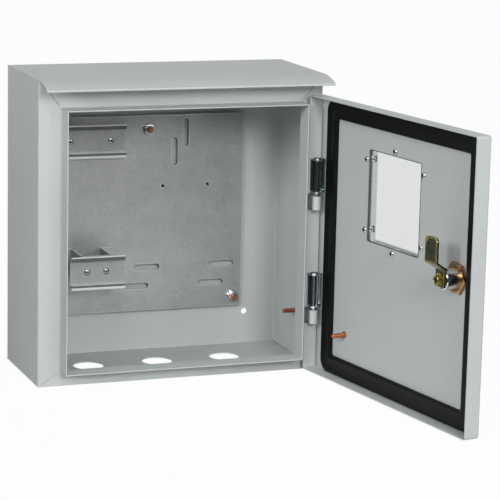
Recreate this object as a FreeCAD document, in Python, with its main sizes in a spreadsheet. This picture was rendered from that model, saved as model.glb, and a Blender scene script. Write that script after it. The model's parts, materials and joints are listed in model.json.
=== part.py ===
"""Outdoor electric meter box: welded sheet steel body with a rain visor, a hinged door with a
clear meter window and a cam lock, and a mounting plate with two rails inside.

Frame: the origin is the centre of the wall hole pattern on the back face, +X is to the right,
+Y points into the wall and +Z is up. The door stands open, as it is at rest. The door's own pieces
are drawn shut, measured from the hinge axis, and are then swung open by their placement.
"""
import FreeCAD, Part
import os
import re
import Sketcher

doc = FreeCAD.newDocument("meter_box")

# Driving sizes in millimetres and degrees, each with what it means.
SIZES = {
    "box_width": (300.0, "outside width of the body"),
    "box_height": (310.0, "outside height of the body"),
    "body_depth": (122.0, "back face to the front flange"),
    "sheet": (1.2, "thickness of the painted steel sheet"),
    "bend_inside": (1.0, "inside radius of a fold"),
    "edge_round": (0.4, "rounding of a cut sheet edge"),
    "side_flange": (23.3, "side of the body to the outside of the lip"),
    "top_flange": (28.3, "roof to the outside of the lip"),
    "bottom_flange": (15.3, "floor to the outside of the lip"),
    "lip_height": (22.6, "front flange to the front edge of the lip"),
    "visor_reach": (33.0, "how far the visor stands out past the front flange"),
    "visor_drop": (6.5, "fall of the visor over its reach"),
    "visor_hem": (7.0, "sheet folded back under the visor's front edge"),
    "wall_hole_inset": (36.0, "wall holes from the edges of the back wall"),
    "wall_hole_dia": (6.5, "wall hole"),
    "cable_hole_dia": (32.0, "cable entry in the floor"),
    "cable_hole_pitch": (75.0, "cable entries, centre to centre"),
    "cable_hole_shift": (-2.0, "middle cable entry, from the centre of the box"),
    "cable_hole_back": (54.0, "cable entries, from the back face"),
    "plate_width": (214.0, "mounting plate across"),
    "plate_height": (210.0, "mounting plate up"),
    "plate_thick": (1.2, "mounting plate sheet"),
    "plate_drop": (5.0, "mounting plate centre below the centre of the box"),
    "plate_gap": (5.6, "back wall to the mounting plate"),
    "plate_corner": (3.0, "mounting plate corner radius"),
    "stud_dia": (6.0, "stud that carries the plate"),
    "stud_top_inset": (14.3, "upper stud below the plate's top edge"),
    "stud_low_inset": (10.6, "lower studs above the plate's bottom edge"),
    "stud_side_inset": (9.5, "lower studs inside the plate's side edges"),
    "stud_show": (3.0, "stud end past its nut"),
    "spacer_dia": (12.0, "spacer behind the plate"),
    "washer_dia": (12.5, "washer under the plate nut"),
    "washer_thick": (1.2, "washer under the plate nut"),
    "nut_flats": (10.0, "plate nut across flats"),
    "nut_height": (5.0, "plate nut"),
    "fit_gap": (0.06, "radial clearance of a pin, shank or stud in its hole"),
    "slot_length": (30.0, "meter slot, end to end"),
    "slot_width": (6.5, "meter slot"),
    "slot_span": (84.0, "lower meter slots, centre to centre"),
    "slot_rise": (143.5, "lower meter slots to the upper meter slot"),
    "slot_top_x": (41.5, "first upper meter slot from the centre of the box"),
    "slot_top_inset": (19.5, "first upper meter slot below the plate's top edge"),
    "slot_step_x": (12.0, "second set of meter slots, to the left of the first"),
    "slot_step_z": (20.0, "second set of meter slots, below the first"),
    "pilot_dia": (4.0, "small hole in the plate"),
    "pilot_span": (50.0, "small holes, centre to centre"),
    "pilot_inset": (76.2, "small holes below the plate's top edge"),
    "rail_width": (35.0, "rail over its two flanges"),
    "rail_channel": (27.0, "rail over its channel"),
    "rail_height": (7.5, "rail from the back to the front"),
    "rail_thick": (1.0, "rail sheet"),
    "upper_rail_length": (74.0, "upper rail"),
    "upper_rail_side": (44.0, "upper rail centre from the plate's left edge"),
    "upper_rail_inset": (25.5, "upper rail centre below the plate's top edge"),
    "upper_rivet_span": (44.0, "upper rail rivets, centre to centre"),
    "lower_rail_length": (58.0, "lower rail"),
    "lower_rail_side": (40.4, "lower rail centre from the plate's left edge"),
    "lower_rail_lift": (53.5, "lower rail centre above the plate's bottom edge"),
    "lower_rivet_span": (20.4, "lower rail rivets, centre to centre"),
    "bracket_width": (33.0, "rail bracket over its legs"),
    "bracket_depth": (38.0, "rail bracket from the plate to its front"),
    "bracket_height": (34.0, "rail bracket up"),
    "bracket_foot": (13.0, "foot of the rail bracket"),
    "bracket_sheet": (1.5, "rail bracket sheet"),
    "rivet_dia": (3.2, "rivet shank"),
    "rivet_head_dia": (6.6, "rivet head"),
    "rivet_head": (1.0, "rivet head height"),
    "rivet_mandrel": (1.8, "hole left in a rivet head"),
    "rivet_tail_dia": (4.6, "rivet tail behind the sheet"),
    "rivet_tail": (2.2, "rivet tail length"),
    "earth_dia": (4.8, "earth stud"),
    "earth_length": (15.0, "earth stud, from the sheet"),
    "earth_collar_dia": (7.4, "weld collar of an earth stud"),
    "earth_collar": (0.9, "weld collar height"),
    "earth_lift": (49.5, "earth studs above the floor's underside"),
    "body_earth_back": (66.0, "body earth stud from the back face"),
    "door_earth_inset": (57.6, "door earth stud from the right side of the body, door shut"),
    "door_open_deg": (99.0, "angle of the door from shut, at rest"),
    "door_free_gap": (2.0, "door's free side inside the left side of the body"),
    "door_top_gap": (20.5, "door's top edge below the roof"),
    "door_lift": (3.0, "door's bottom edge above the floor's underside"),
    "door_depth": (16.5, "door pan, outside face to the rear edge of its rim"),
    "door_stand": (28.0, "front flange to the door's outside face, shut"),
    "door_corner": (3.0, "corner radius of the door pan"),
    "hinge_inset": (11.0, "hinge axis from the right side of the body"),
    "hinge_edge": (9.5, "hinge axis to the hinge side of the door"),
    "hinge_set": (11.0, "hinge axis to the door's outside face"),
    "hinge_top_z": (31.0, "top of the upper sleeve above the centre of the box"),
    "hinge_pitch": (119.4, "hinges, centre to centre"),
    "pin_dia": (5.0, "hinge pin"),
    "pin_head_dia": (8.4, "hinge pin head"),
    "pin_head": (1.6, "hinge pin head height"),
    "pin_tail": (1.5, "hinge pin end past the sleeve"),
    "sleeve_dia": (9.0, "hinge sleeve"),
    "sleeve_length": (14.0, "hinge sleeve"),
    "sleeve_leg": (3.0, "leg that carries the sleeve, across"),
    "bush_dia": (7.6, "thrust ring between sleeve and bracket"),
    "bush_length": (2.6, "thrust ring"),
    "run_gap": (0.3, "clearance between pieces that move past each other"),
    "hinge_sheet": (1.5, "hinge bracket sheet"),
    "hinge_length": (35.5, "hinge bracket over its ears"),
    "hinge_reach": (13.6, "hinge bracket leg along the rim, from the door's inside face"),
    "hinge_face": (9.0, "hinge bracket leg along the door's face"),
    "ear_round": (4.6, "radius of a hinge ear about the pin"),
    "notch_margin": (1.5, "rim notch past each end of the sleeve"),
    "notch_depth": (13.4, "rim notch from the rear edge of the rim"),
    "gasket_width": (16.0, "door gasket"),
    "gasket_hinge": (15.4, "door gasket from the hinge side of the door"),
    "gasket_free": (9.4, "door gasket from the free side of the door"),
    "gasket_top": (2.2, "door gasket from the top of the door"),
    "gasket_bottom": (2.0, "door gasket from the bottom of the door"),
    "gasket_corner": (12.0, "outside corner radius of the gasket"),
    "gasket_crown": (1.2, "rounding of the gasket's upper edges"),
    "window_size": (92.0, "window opening in the door, square"),
    "window_corner": (2.0, "corner radius of the window opening"),
    "window_x": (9.3, "window centre from the centre of the box, door shut"),
    "window_z": (45.4, "window centre above the centre of the box"),
    "pane_brim": (114.0, "window tray over its brim"),
    "pane_brim_thick": (2.4, "window tray brim"),
    "pane_wall": (2.0, "window tray wall"),
    "pane_depth": (7.0, "window tray, door's outside face to the inside of the pane"),
    "pane_corner": (3.0, "corner radius of the window tray"),
    "seal_thick": (1.0, "seal under the window tray"),
    "screw_span": (101.2, "window screws, across the window"),
    "screw_row": (70.8, "window screws at the sides, one above the other"),
    "screw_dia": (3.0, "window screw"),
    "screw_head_dia": (6.2, "window screw head"),
    "screw_head": (2.0, "window screw head height"),
    "boss_dia": (7.0, "boss for a window screw"),
    "boss_height": (5.0, "boss above the brim"),
    "screw_bite": (4.0, "window screw past the brim, into its boss"),
    "lock_inset": (45.0, "lock axis from the left side of the body, door shut"),
    "lock_z": (-6.4, "lock axis above the centre of the box"),
    "lock_dia": (20.0, "lock barrel"),
    "lock_length": (18.5, "lock barrel past the door's inside face"),
    "lock_head_dia": (24.0, "lock head outside the door"),
    "lock_head": (3.0, "lock head height"),
    "plug_dia": (12.0, "lock plug"),
    "plug_tang": (8.0, "square tang that carries the cam, across flats"),
    "key_slot": (2.0, "key slot width"),
    "key_slot_length": (8.0, "key slot"),
    "key_slot_depth": (6.0, "key slot"),
    "lock_nut_flats": (28.0, "lock nut across flats"),
    "lock_nut": (4.5, "lock nut"),
    "lock_nut_turn_deg": (37.0, "how far the lock nut is turned"),
    "cam_thick": (2.5, "lock cam strip"),
    "cam_length": (42.0, "lock cam, axis to tip"),
    "cam_tail": (7.0, "lock cam, axis to its other end"),
    "cam_narrow": (14.5, "lock cam at the barrel"),
    "cam_wide": (20.0, "lock cam at the tip"),
    "cam_step": (11.0, "offset of the cam's tip away from the door"),
    "cam_bend_low": (10.0, "start of the cam's bend, from the axis"),
    "cam_bend_high": (17.0, "end of the cam's bend, from the axis"),
    "cam_washer_dia": (13.0, "washer under the cam screw"),
    "cam_washer": (1.2, "washer under the cam screw"),
    "cam_screw_flats": (8.0, "cam screw head across flats"),
    "cam_screw_head": (3.6, "cam screw head"),
    "cam_screw_dia": (5.0, "cam screw"),
}

# Places and sizes worked out from the driving sizes.
DERIVED = {
    "half_width": "box_width / 2",
    "half_height": "box_height / 2",
    "bend_outside": "bend_inside + sheet",
    "wall_hole_x": "half_width - wall_hole_inset",
    "wall_hole_z": "half_height - wall_hole_inset",
    "lip_out_x": "half_width - side_flange",
    "lip_in_x": "lip_out_x - sheet",
    "lip_top_out": "half_height - top_flange",
    "lip_top_in": "lip_top_out - sheet",
    "lip_low_out": "bottom_flange - half_height",
    "lip_low_in": "lip_low_out + sheet",
    "flange_front": "0 - body_depth",
    "flange_back": "sheet - body_depth",
    "lip_front": "0 - body_depth - lip_height",
    "roof_under": "half_height - sheet",
    "visor_tip": "0 - body_depth - visor_reach",
    "visor_knee": "0 - body_depth - visor_reach / 2",
    "visor_low": "half_height - visor_drop",
    "visor_slope": "2 * visor_drop / visor_reach",
    "visor_bend": "visor_reach ^ 2 / visor_drop / 2",
    "floor_top": "sheet - half_height",
    "plate_front": "0 - sheet - plate_gap - plate_thick",
    "plate_back": "0 - sheet - plate_gap",
    "plate_top": "plate_height / 2 - plate_drop",
    "plate_low": "0 - plate_height / 2 - plate_drop",
    "stud_top_z": "plate_top - stud_top_inset",
    "stud_low_z": "plate_low + stud_low_inset",
    "stud_low_x": "plate_width / 2 - stud_side_inset",
    "slot_top_z": "plate_top - slot_top_inset",
    "pilot_z": "plate_top - pilot_inset",
    "upper_rail_x": "upper_rail_side - plate_width / 2",
    "upper_rail_z": "plate_top - upper_rail_inset",
    "lower_rail_x": "lower_rail_side - plate_width / 2",
    "lower_rail_z": "plate_low + lower_rail_lift",
    "upper_rail_web": "plate_front - rail_thick",
    "bracket_front": "plate_front - bracket_depth",
    "lower_rail_web": "bracket_front - rail_thick",
    "rivet_hole": "rivet_dia / 2 + fit_gap",
    "stud_hole": "stud_dia / 2 + fit_gap",
    "earth_z": "earth_lift - half_height",
    "body_earth_y": "0 - body_earth_back",
    "hinge_x": "half_width - hinge_inset",
    "hinge_y": "hinge_set - body_depth - door_stand",
    "door_out": "0 - hinge_set",
    "door_in": "sheet - hinge_set",
    "door_rear": "door_depth - hinge_set",
    "door_free": "door_free_gap - half_width - hinge_x",
    "door_low": "door_lift - half_height",
    "door_high": "half_height - door_top_gap",
    "rim_in": "hinge_edge - sheet",
    "gasket_high": "door_stand - sheet - lip_height - run_gap",
    "gasket_right": "hinge_edge - gasket_hinge",
    "gasket_left": "door_free + gasket_free",
    "gasket_low": "door_low + gasket_bottom",
    "gasket_up": "door_high - gasket_top",
    "window_cx": "window_x - hinge_x",
    "pane_seat": "door_out - seal_thick",
    "pane_brim_out": "pane_seat - pane_brim_thick",
    "pane_inside": "door_out - pane_depth",
    "pane_outside": "pane_inside - pane_wall",
    "pane_crown": "window_size + 2 * pane_wall",
    "lock_cx": "lock_inset - half_width - hinge_x",
    "lock_end": "door_in + lock_length",
    "plug_end": "lock_end + run_gap",
    "cam_back": "plug_end + cam_thick",
    "earth_door_cx": "half_width - door_earth_inset - hinge_x",
}

sheet = doc.addObject("Spreadsheet::Sheet", "Sizes")
for row, (alias, (size, note)) in enumerate(SIZES.items(), start=1):
    sheet.set(f"A{row}", note)
    sheet.set(f"B{row}", str(size))
    sheet.setAlias(f"B{row}", alias)
doc.recompute()

WORD = re.compile(r"[a-z_]+")
SAME = 1e-4
nodes = []


def formula(text):
    """Write a formula of named sizes as an expression on the sheet's cells."""
    def swap(match):
        word = match.group(0)
        if word in DERIVED:
            return "(" + formula(DERIVED[word]) + ")"
        if word in SIZES:
            return "Sizes." + word
        return word
    return WORD.sub(swap, str(text))


def value(text):
    """Work out a formula of named sizes as a plain number."""
    return float(sheet.evalExpression(formula(text)))


def bind(thing, prop, text):
    """Tie a property to a formula of named sizes."""
    thing.setExpression(prop, formula(text))


def shift(thing, place):
    """Tie the position of an object to three formulas."""
    for axis, text in zip("xyz", place):
        bind(thing, "Placement.Base." + axis, text)


# Solids of Part, bound to the sheet
AXES = {
    "x": FreeCAD.Vector(1, 0, 0),
    "y": FreeCAD.Vector(0, 1, 0),
    "z": FreeCAD.Vector(0, 0, 1),
}


def block(name, low, high):
    """A box between two corners."""
    thing = doc.addObject("Part::Box", name)
    for side, start, end in zip(("Length", "Width", "Height"), low, high):
        bind(thing, side, f"({end}) - ({start})")
    shift(thing, low)
    return thing


def rod(name, radius, length, start, axis):
    """A round rod from a point along +X, +Y or +Z."""
    thing = doc.addObject("Part::Cylinder", name)
    thing.Placement.Rotation = FreeCAD.Rotation(AXES["z"], AXES[axis])
    bind(thing, "Radius", radius)
    bind(thing, "Height", length)
    shift(thing, start)
    return thing


def hexagon(name, flats, height, start, turn="0"):
    """A six-sided prism from a point along +Y, turned about its own axis."""
    thing = doc.addObject("Part::Prism", name)
    thing.Polygon = 6
    upright = FreeCAD.Rotation(AXES["z"], AXES["y"])
    thing.Placement.Rotation = upright.multiply(FreeCAD.Rotation(AXES["z"], value(turn)))
    bind(thing, "Circumradius", f"({flats}) / 2 / cos(30)")
    bind(thing, "Height", height)
    shift(thing, start)
    return thing


def join(name, *pieces):
    """Several overlapping solids as one."""
    thing = doc.addObject("Part::MultiFuse", name)
    thing.Shapes = list(pieces)
    thing.Refine = True
    return thing


def group(name, pieces):
    """Several separate solids in one object."""
    thing = doc.addObject("Part::Compound", name)
    thing.Links = list(pieces)
    return thing


def cut(name, base, *tools):
    """A solid less one or more others."""
    thing = doc.addObject("Part::Cut", name)
    thing.Base = base
    thing.Tool = tools[0] if len(tools) == 1 else group(name + "_tools", tools)
    thing.Refine = True
    return thing


# Bodies with sketches and features
def new_body(name):
    return doc.addObject("PartDesign::Body", name)


def sketch_on(body, plane, lift="0", side="0", up="0"):
    """A sketch on an origin plane of its body, lifted along the plane's normal."""
    sketch = body.newObject("Sketcher::SketchObject", body.Name + "_sketch")
    planes = {item.Role: item for item in body.Origin.OriginFeatures}
    sketch.AttachmentSupport = [(planes[plane + "_Plane"], "")]
    sketch.MapMode = "FlatFace"
    for axis, text in zip("xyz", (side, up, lift)):
        bind(sketch, "AttachmentOffset.Base." + axis, text)
    return sketch


def tie(sketch, kind, items, text):
    """A dimension of a sketch, tied to a formula."""
    index = sketch.addConstraint(Sketcher.Constraint(kind, *items, value(text)))
    bind(sketch, f"Constraints[{index}]", text)


def pin_point(sketch, curve, end, x, y):
    """Hold a point of a sketch at two formulas."""
    for kind, text, line in (("DistanceX", x, -2), ("DistanceY", y, -1)):
        if str(text) == "0":
            sketch.addConstraint(Sketcher.Constraint("PointOnObject", curve, end, line))
        else:
            tie(sketch, kind, (-1, 1, curve, end), text)


def outline(sketch, points):
    """A closed outline of straight lines through points given as formulas."""
    spots = [FreeCAD.Vector(value(x), value(y), 0) for x, y in points]
    first = sketch.GeometryCount
    count = len(points)
    for i in range(count):
        sketch.addGeometry(Part.LineSegment(spots[i], spots[(i + 1) % count]), False)
    for i in range(count):
        following = first + (i + 1) % count
        sketch.addConstraint(Sketcher.Constraint("Coincident", first + i, 2, following, 1))
    for i, (x, y) in enumerate(points):
        pin_point(sketch, first + i, 1, x, y)


def rectangle(sketch, left, low, right, high):
    outline(sketch, [(left, low), (right, low), (right, high), (left, high)])


def ring(sketch, x, y, radius):
    """A circle of a sketch, with its centre and radius given as formulas."""
    spot = FreeCAD.Vector(value(x), value(y), 0)
    curve = sketch.addGeometry(Part.Circle(spot, FreeCAD.Vector(0, 0, 1), value(radius)), False)
    tie(sketch, "Radius", (curve,), radius)
    pin_point(sketch, curve, 3, x, y)


def pad(body, sketch, length, back=False):
    feature = body.newObject("PartDesign::Pad", body.Name + "_pad")
    feature.Profile = sketch
    feature.Reversed = back
    bind(feature, "Length", length)
    doc.recompute()
    return feature


def pocket(body, sketch, length, back=False):
    """Cut a sketch into the body, and make sure that something was cut."""
    before = body.Shape.Volume
    feature = body.newObject("PartDesign::Pocket", body.Name + "_pocket")
    feature.Profile = sketch
    feature.Reversed = back
    bind(feature, "Length", length)
    doc.recompute()
    if not body.Shape.Volume < before:
        raise ValueError(body.Name + ": a pocket cut nothing")
    return feature


def turn(body, sketch):
    """A full turn of a sketch about its own upright axis."""
    feature = body.newObject("PartDesign::Revolution", body.Name + "_turn")
    feature.Profile = sketch
    feature.ReferenceAxis = (sketch, ["V_Axis"])
    feature.Angle = 360.0
    doc.recompute()
    return feature


def straight_edges(shape, along, spots):
    """Names of the straight edges along an axis that pass through given points of the other two."""
    others = [axis for axis in "xyz" if axis != along]
    wanted = [tuple(value(text) for text in spot) for spot in spots]
    names = []
    for number, edge in enumerate(shape.Edges, start=1):
        ends = [vertex.Point for vertex in edge.Vertexes]
        if len(ends) != 2 or not isinstance(edge.Curve, Part.Line):
            continue
        run = ends[1] - ends[0]
        if abs(abs(run.dot(AXES[along])) - run.Length) > SAME:
            continue
        place = tuple(getattr(ends[0], axis) for axis in others)
        if any(abs(place[0] - a) + abs(place[1] - b) < SAME for a, b in wanted):
            names.append(f"Edge{number}")
    return names


def soften(body, feature, names, radius):
    """Round named edges of a body."""
    rounded = body.newObject("PartDesign::Fillet", body.Name + "_round")
    rounded.Base = (feature, names)
    bind(rounded, "Radius", radius)
    doc.recompute()
    return rounded


def keep(thing, label, carrier="body"):
    """Name a finished piece, and swing it open if the door carries it."""
    thing.Label = label
    if carrier == "door":
        thing.Placement = FreeCAD.Placement(FreeCAD.Vector(), FreeCAD.Rotation(AXES["z"], value("door_open_deg")))
        bind(thing, "Placement.Base.x", "hinge_x")
        bind(thing, "Placement.Base.y", "hinge_y")
        bind(thing, "Placement.Rotation.Angle", "door_open_deg")
    nodes.append(thing)


# Body shell
def mirror_x(points):
    """The same points on the left, in turning order."""
    return [(f"0 - ({x})", y) for x, y in reversed(points)]


def back_and_sides():
    """Back wall, both sides, side flanges and side lips, folded from one sheet."""
    body = new_body("wrap")
    outer = [
        ("lip_in_x", "lip_front"),
        ("lip_out_x", "lip_front"),
        ("lip_out_x", "flange_front"),
        ("half_width", "flange_front"),
        ("half_width", "0"),
    ]
    inner = [
        ("half_width - sheet", "0 - sheet"),
        ("half_width - sheet", "flange_back"),
        ("lip_in_x", "flange_back"),
    ]
    profile = sketch_on(body, "XY", lift="floor_top")
    outline(profile, outer + mirror_x(outer) + mirror_x(inner) + inner)
    wall = pad(body, profile, "box_height - 2 * sheet")
    hill = [outer[3], outer[4], inner[2]]
    valley = [outer[2], inner[0], inner[1]]
    edge = outer[:2]
    for spots, radius in ((hill, "bend_outside"), (valley, "bend_inside"), (edge, "edge_round")):
        names = straight_edges(wall.Shape, "z", spots + mirror_x(spots))
        wall = soften(body, wall, names, radius)
    mitre = sketch_on(body, "XZ", lift="body_depth + lip_height + sheet")
    for lip_out, lip_in, end in (
        ("lip_top_out", "lip_top_in", "half_height"),
        ("lip_low_out", "lip_low_in", "0 - half_height"),
    ):
        corner = [("half_width", end), ("lip_out_x", lip_out), ("lip_in_x", lip_in), ("lip_in_x - sheet", lip_in),
                  ("lip_in_x - sheet", end)]
        outline(mitre, corner)
        outline(mitre, mirror_x(corner))
    pocket(body, mitre, "lip_height + 2 * sheet")
    holes = sketch_on(body, "XZ", lift="sheet")
    for side in ("", "0 - "):
        for level in ("", "0 - "):
            ring(holes, side + "wall_hole_x", level + "wall_hole_z", "wall_hole_dia / 2")
    pocket(body, holes, "2 * sheet")
    keep(body, "back_and_sides")


def front_strip(name, lip_out, lip_in, root, end):
    """Flange and lip across the front, mitred at both ends."""
    body = new_body(name)
    profile = sketch_on(body, "YZ", lift="0 - half_width")
    points = [("flange_front", root), ("flange_back", root), ("flange_back", lip_in), ("lip_front", lip_in),
              ("lip_front", lip_out), ("flange_front", lip_out)]
    outline(profile, points)
    strip = pad(body, profile, "box_width")
    for spots, radius in (
        ([points[2]], "bend_outside"), ([points[5]], "bend_inside"), (points[3:5], "edge_round"),
    ):
        strip = soften(body, strip, straight_edges(strip.Shape, "x", spots), radius)
    mitre = sketch_on(body, "XZ", lift="body_depth + lip_height + sheet")
    past = "half_width + sheet"
    corner = [("half_width", end), ("lip_out_x", lip_out), ("lip_in_x", lip_in),
              ("lip_in_x", f"{lip_in} + ({lip_in}) - ({lip_out})"), (past, f"{lip_in} + ({lip_in}) - ({lip_out})"),
              (past, end)]
    outline(mitre, corner)
    outline(mitre, mirror_x(corner))
    pocket(body, mitre, "lip_height + 3 * sheet")
    keep(body, name)


def roof():
    """Flat roof that runs forward and curves down into the rain visor, with a hem along its edge."""
    body = new_body("roof")
    profile = sketch_on(body, "YZ", lift="0 - half_width")
    points = [("0", "half_height"), ("0", "roof_under"), ("visor_knee", "roof_under"),
              ("visor_tip", "visor_low - sheet"), ("visor_tip", "visor_low"), ("visor_knee", "half_height")]
    outline(profile, points)
    top = pad(body, profile, "box_width")
    for spots, radius in (([points[5]], "visor_bend"), ([points[2]], "visor_bend - sheet"), ([points[0]], "bend_inside")):
        top = soften(body, top, straight_edges(top.Shape, "x", spots), radius)
    fold = sketch_on(body, "YZ", lift="0 - half_width")
    heel, rise = "visor_tip + visor_hem", "visor_hem * visor_slope"
    outline(fold, [("visor_tip", "visor_low - sheet / 2"), ("visor_tip", "visor_low - 2 * sheet"),
                   (heel, f"visor_low - 2 * sheet + {rise}"), (heel, f"visor_low - sheet / 2 + {rise}")])
    hem = pad(body, fold, "box_width")
    nose = [("visor_tip", "visor_low"), ("visor_tip", "visor_low - 2 * sheet")]
    soften(body, hem, straight_edges(hem.Shape, "x", nose), "2 * edge_round")
    keep(body, "roof_with_visor")


def floor():
    """Floor with the cable entries."""
    body = new_body("floor")
    base = sketch_on(body, "XY", lift="0 - half_height")
    rectangle(base, "0 - half_width", "flange_front", "half_width", "0")
    for step in ("0 - cable_hole_pitch", "0", "cable_hole_pitch"):
        ring(base, f"cable_hole_shift + ({step})", "0 - cable_hole_back", "cable_hole_dia / 2")
    panel = pad(body, base, "sheet")
    low = [("flange_front", "0 - half_height"), ("0", "0 - half_height")]
    names = straight_edges(panel.Shape, "x", low)
    names += straight_edges(panel.Shape, "y", [("half_width", low[0][1]), ("0 - half_width", low[0][1])])
    soften(body, panel, names, "bend_inside")
    keep(body, "floor_panel")


# Inside the body
def studs_of_the_plate():
    """The three studs that carry the mounting plate, as places across and up."""
    return (("top", "0", "stud_top_z"), ("left", "0 - stud_low_x", "stud_low_z"), ("right", "stud_low_x", "stud_low_z"))


def plate_fixings():
    """Studs welded to the back wall, with spacers, washers and nuts."""
    studs, spacers, washers, nuts = [], [], [], []
    washer_face = "plate_front - washer_thick"
    nut_face = washer_face + " - nut_height"
    for name, x, z in studs_of_the_plate():
        bore = f"0 - ({nut_face}) + stud_show"
        studs.append(rod("stud_" + name, "stud_dia / 2", f"{bore} - sheet", (x, f"{nut_face} - stud_show", z), "y"))
        pieces = (
            (spacers, rod("spacer_" + name, "spacer_dia / 2", "plate_gap", (x, "plate_back", z), "y")),
            (washers, rod("washer_" + name, "washer_dia / 2", "washer_thick", (x, washer_face, z), "y")),
            (nuts, hexagon("nut_" + name, "nut_flats", "nut_height", (x, nut_face, z))),
        )
        for store, solid in pieces:
            tool = rod(solid.Name + "_bore", "stud_hole", bore, (x, f"{nut_face} - stud_show", z), "y")
            store.append(cut(solid.Name + "_cut", solid, tool))
    keep(group("plate_studs", studs), "plate_studs")
    keep(group("plate_spacers", spacers), "plate_spacers")
    keep(group("plate_washers", washers), "plate_washers")
    keep(group("plate_nuts", nuts), "plate_nuts")


def meter_slots():
    """Each meter slot as its centre and the direction it runs."""
    slots = []
    for number in ("0", "1"):
        x = f"slot_top_x - {number} * slot_step_x"
        z = f"slot_top_z - {number} * slot_step_z"
        slots.append((x, z, "up"))
        for side in ("-", "+"):
            slots.append((f"{x} {side} slot_span / 2", f"{z} - slot_rise", "across"))
    return slots


def mounting_plate():
    """Galvanised plate with two sets of meter slots."""
    body = new_body("plate")
    base = sketch_on(body, "XZ", lift="0 - plate_back")
    rectangle(base, "0 - plate_width / 2", "plate_low", "plate_width / 2", "plate_top")
    panel = pad(body, base, "plate_thick")
    corners = [(x, z) for x in ("0 - plate_width / 2", "plate_width / 2") for z in ("plate_low", "plate_top")]
    soften(body, panel, straight_edges(panel.Shape, "y", corners), "plate_corner")
    straight = sketch_on(body, "XZ", lift="0 - plate_front")
    rounds = sketch_on(body, "XZ", lift="0 - plate_front")
    for x, z, run in meter_slots():
        half_run = "(slot_length - slot_width) / 2"
        half_x, half_z = ("slot_width / 2", half_run) if run == "up" else (half_run, "slot_width / 2")
        rectangle(straight, f"{x} - {half_x}", f"{z} - {half_z}", f"{x} + {half_x}", f"{z} + {half_z}")
        for end in ("-", "+"):
            end_x = x if run == "up" else f"{x} {end} {half_run}"
            end_z = f"{z} {end} {half_run}" if run == "up" else z
            ring(rounds, end_x, end_z, "slot_width / 2")
    for end in ("-", "+"):
        ring(rounds, f"slot_top_x {end} pilot_span / 2", "pilot_z", "pilot_dia / 2")
        ring(rounds, f"upper_rail_x {end} upper_rivet_span / 2", "upper_rail_z", "rivet_hole")
    for name, x, z in studs_of_the_plate():
        ring(rounds, x, z, "stud_hole")
    pocket(body, straight, "2 * plate_thick")
    pocket(body, rounds, "2 * plate_thick")
    keep(body, "mounting_plate")


def rail(label, length, centre_x, centre_z, web, span):
    """A top-hat rail with two rivet holes in its web."""
    body = new_body(label)
    back = f"{web} + rail_thick"
    front = f"{back} - rail_height"
    step = f"{front} + rail_thick"
    channel, wing = "rail_channel / 2", "rail_width / 2"
    half = [(back, channel), (step, channel), (step, wing), (front, wing), (front, f"{channel} - rail_thick"),
            (web, f"{channel} - rail_thick")]
    profile = sketch_on(body, "YZ", lift=f"{centre_x} - {length} / 2")
    outline(profile, [(y, f"{centre_z} + {z}") for y, z in half]
            + [(y, f"{centre_z} - ({z})") for y, z in reversed(half)])
    pad(body, profile, length)
    holes = sketch_on(body, "XZ", lift=f"0 - ({front})")
    for end in ("-", "+"):
        ring(holes, f"{centre_x} {end} {span} / 2", centre_z, "rivet_hole")
    pocket(body, holes, "2 * rail_height")
    keep(body, label)


def rivets(label, centre_x, centre_z, web, span, grip):
    """Two blind rivets through a rail's web and what is behind it."""
    pieces = []
    for name, end in (("left", "-"), ("right", "+")):
        x = f"{centre_x} {end} {span} / 2"
        title = f"{label}_{name}"
        head = rod(title + "_head", "rivet_head_dia / 2", "rivet_head", (x, f"{web} - rivet_head", centre_z), "y")
        shank = rod(title + "_shank", "rivet_dia / 2", f"rivet_head + {grip} + rivet_tail",
                    (x, f"{web} - rivet_head", centre_z), "y")
        tail = rod(title + "_tail", "rivet_tail_dia / 2", "rivet_tail", (x, f"{web} + {grip}", centre_z), "y")
        mandrel = rod(title + "_mandrel", "rivet_mandrel / 2", "rivet_head + rail_thick",
                      (x, f"{web} - rivet_head", centre_z), "y")
        pieces.append(cut(title, join(title + "_solid", head, shank, tail), mandrel))
    keep(group(label, pieces), label)


def rail_bracket():
    """Hat-shaped bracket that carries the lower rail clear of the plate."""
    body = new_body("rail_stand")
    leg, skin = "bracket_width / 2", "bracket_sheet"
    outside = [(f"{leg} + bracket_foot", "plate_front"), (f"{leg} + bracket_foot", f"plate_front - {skin}"),
               (leg, f"plate_front - {skin}"), (leg, "bracket_front")]
    inside = [(f"{leg} - {skin}", f"bracket_front + {skin}"), (f"{leg} - {skin}", "plate_front")]
    right = [(f"lower_rail_x + {x}", y) for x, y in outside]
    left = [(f"lower_rail_x - ({x})", y) for x, y in reversed(outside)]
    left_in = [(f"lower_rail_x - ({x})", y) for x, y in reversed(inside)]
    right_in = [(f"lower_rail_x + {x}", y) for x, y in inside]
    profile = sketch_on(body, "XY", lift="lower_rail_z - bracket_height / 2")
    outline(profile, right + left + left_in + right_in)
    strip = pad(body, profile, "bracket_height")
    hill = [right[3], left[0], left_in[0], right_in[1]]
    valley = [right[2], left[1], left_in[1], right_in[0]]
    for spots, radius in ((hill, "bend_inside + bracket_sheet"), (valley, "bend_inside")):
        strip = soften(body, strip, straight_edges(strip.Shape, "z", spots), radius)
    holes = sketch_on(body, "XZ", lift="0 - bracket_front + bracket_sheet")
    for end in ("-", "+"):
        ring(holes, f"lower_rail_x {end} lower_rivet_span / 2", "lower_rail_z", "rivet_hole")
    pocket(body, holes, "3 * bracket_sheet")
    keep(body, "rail_bracket")


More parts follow.
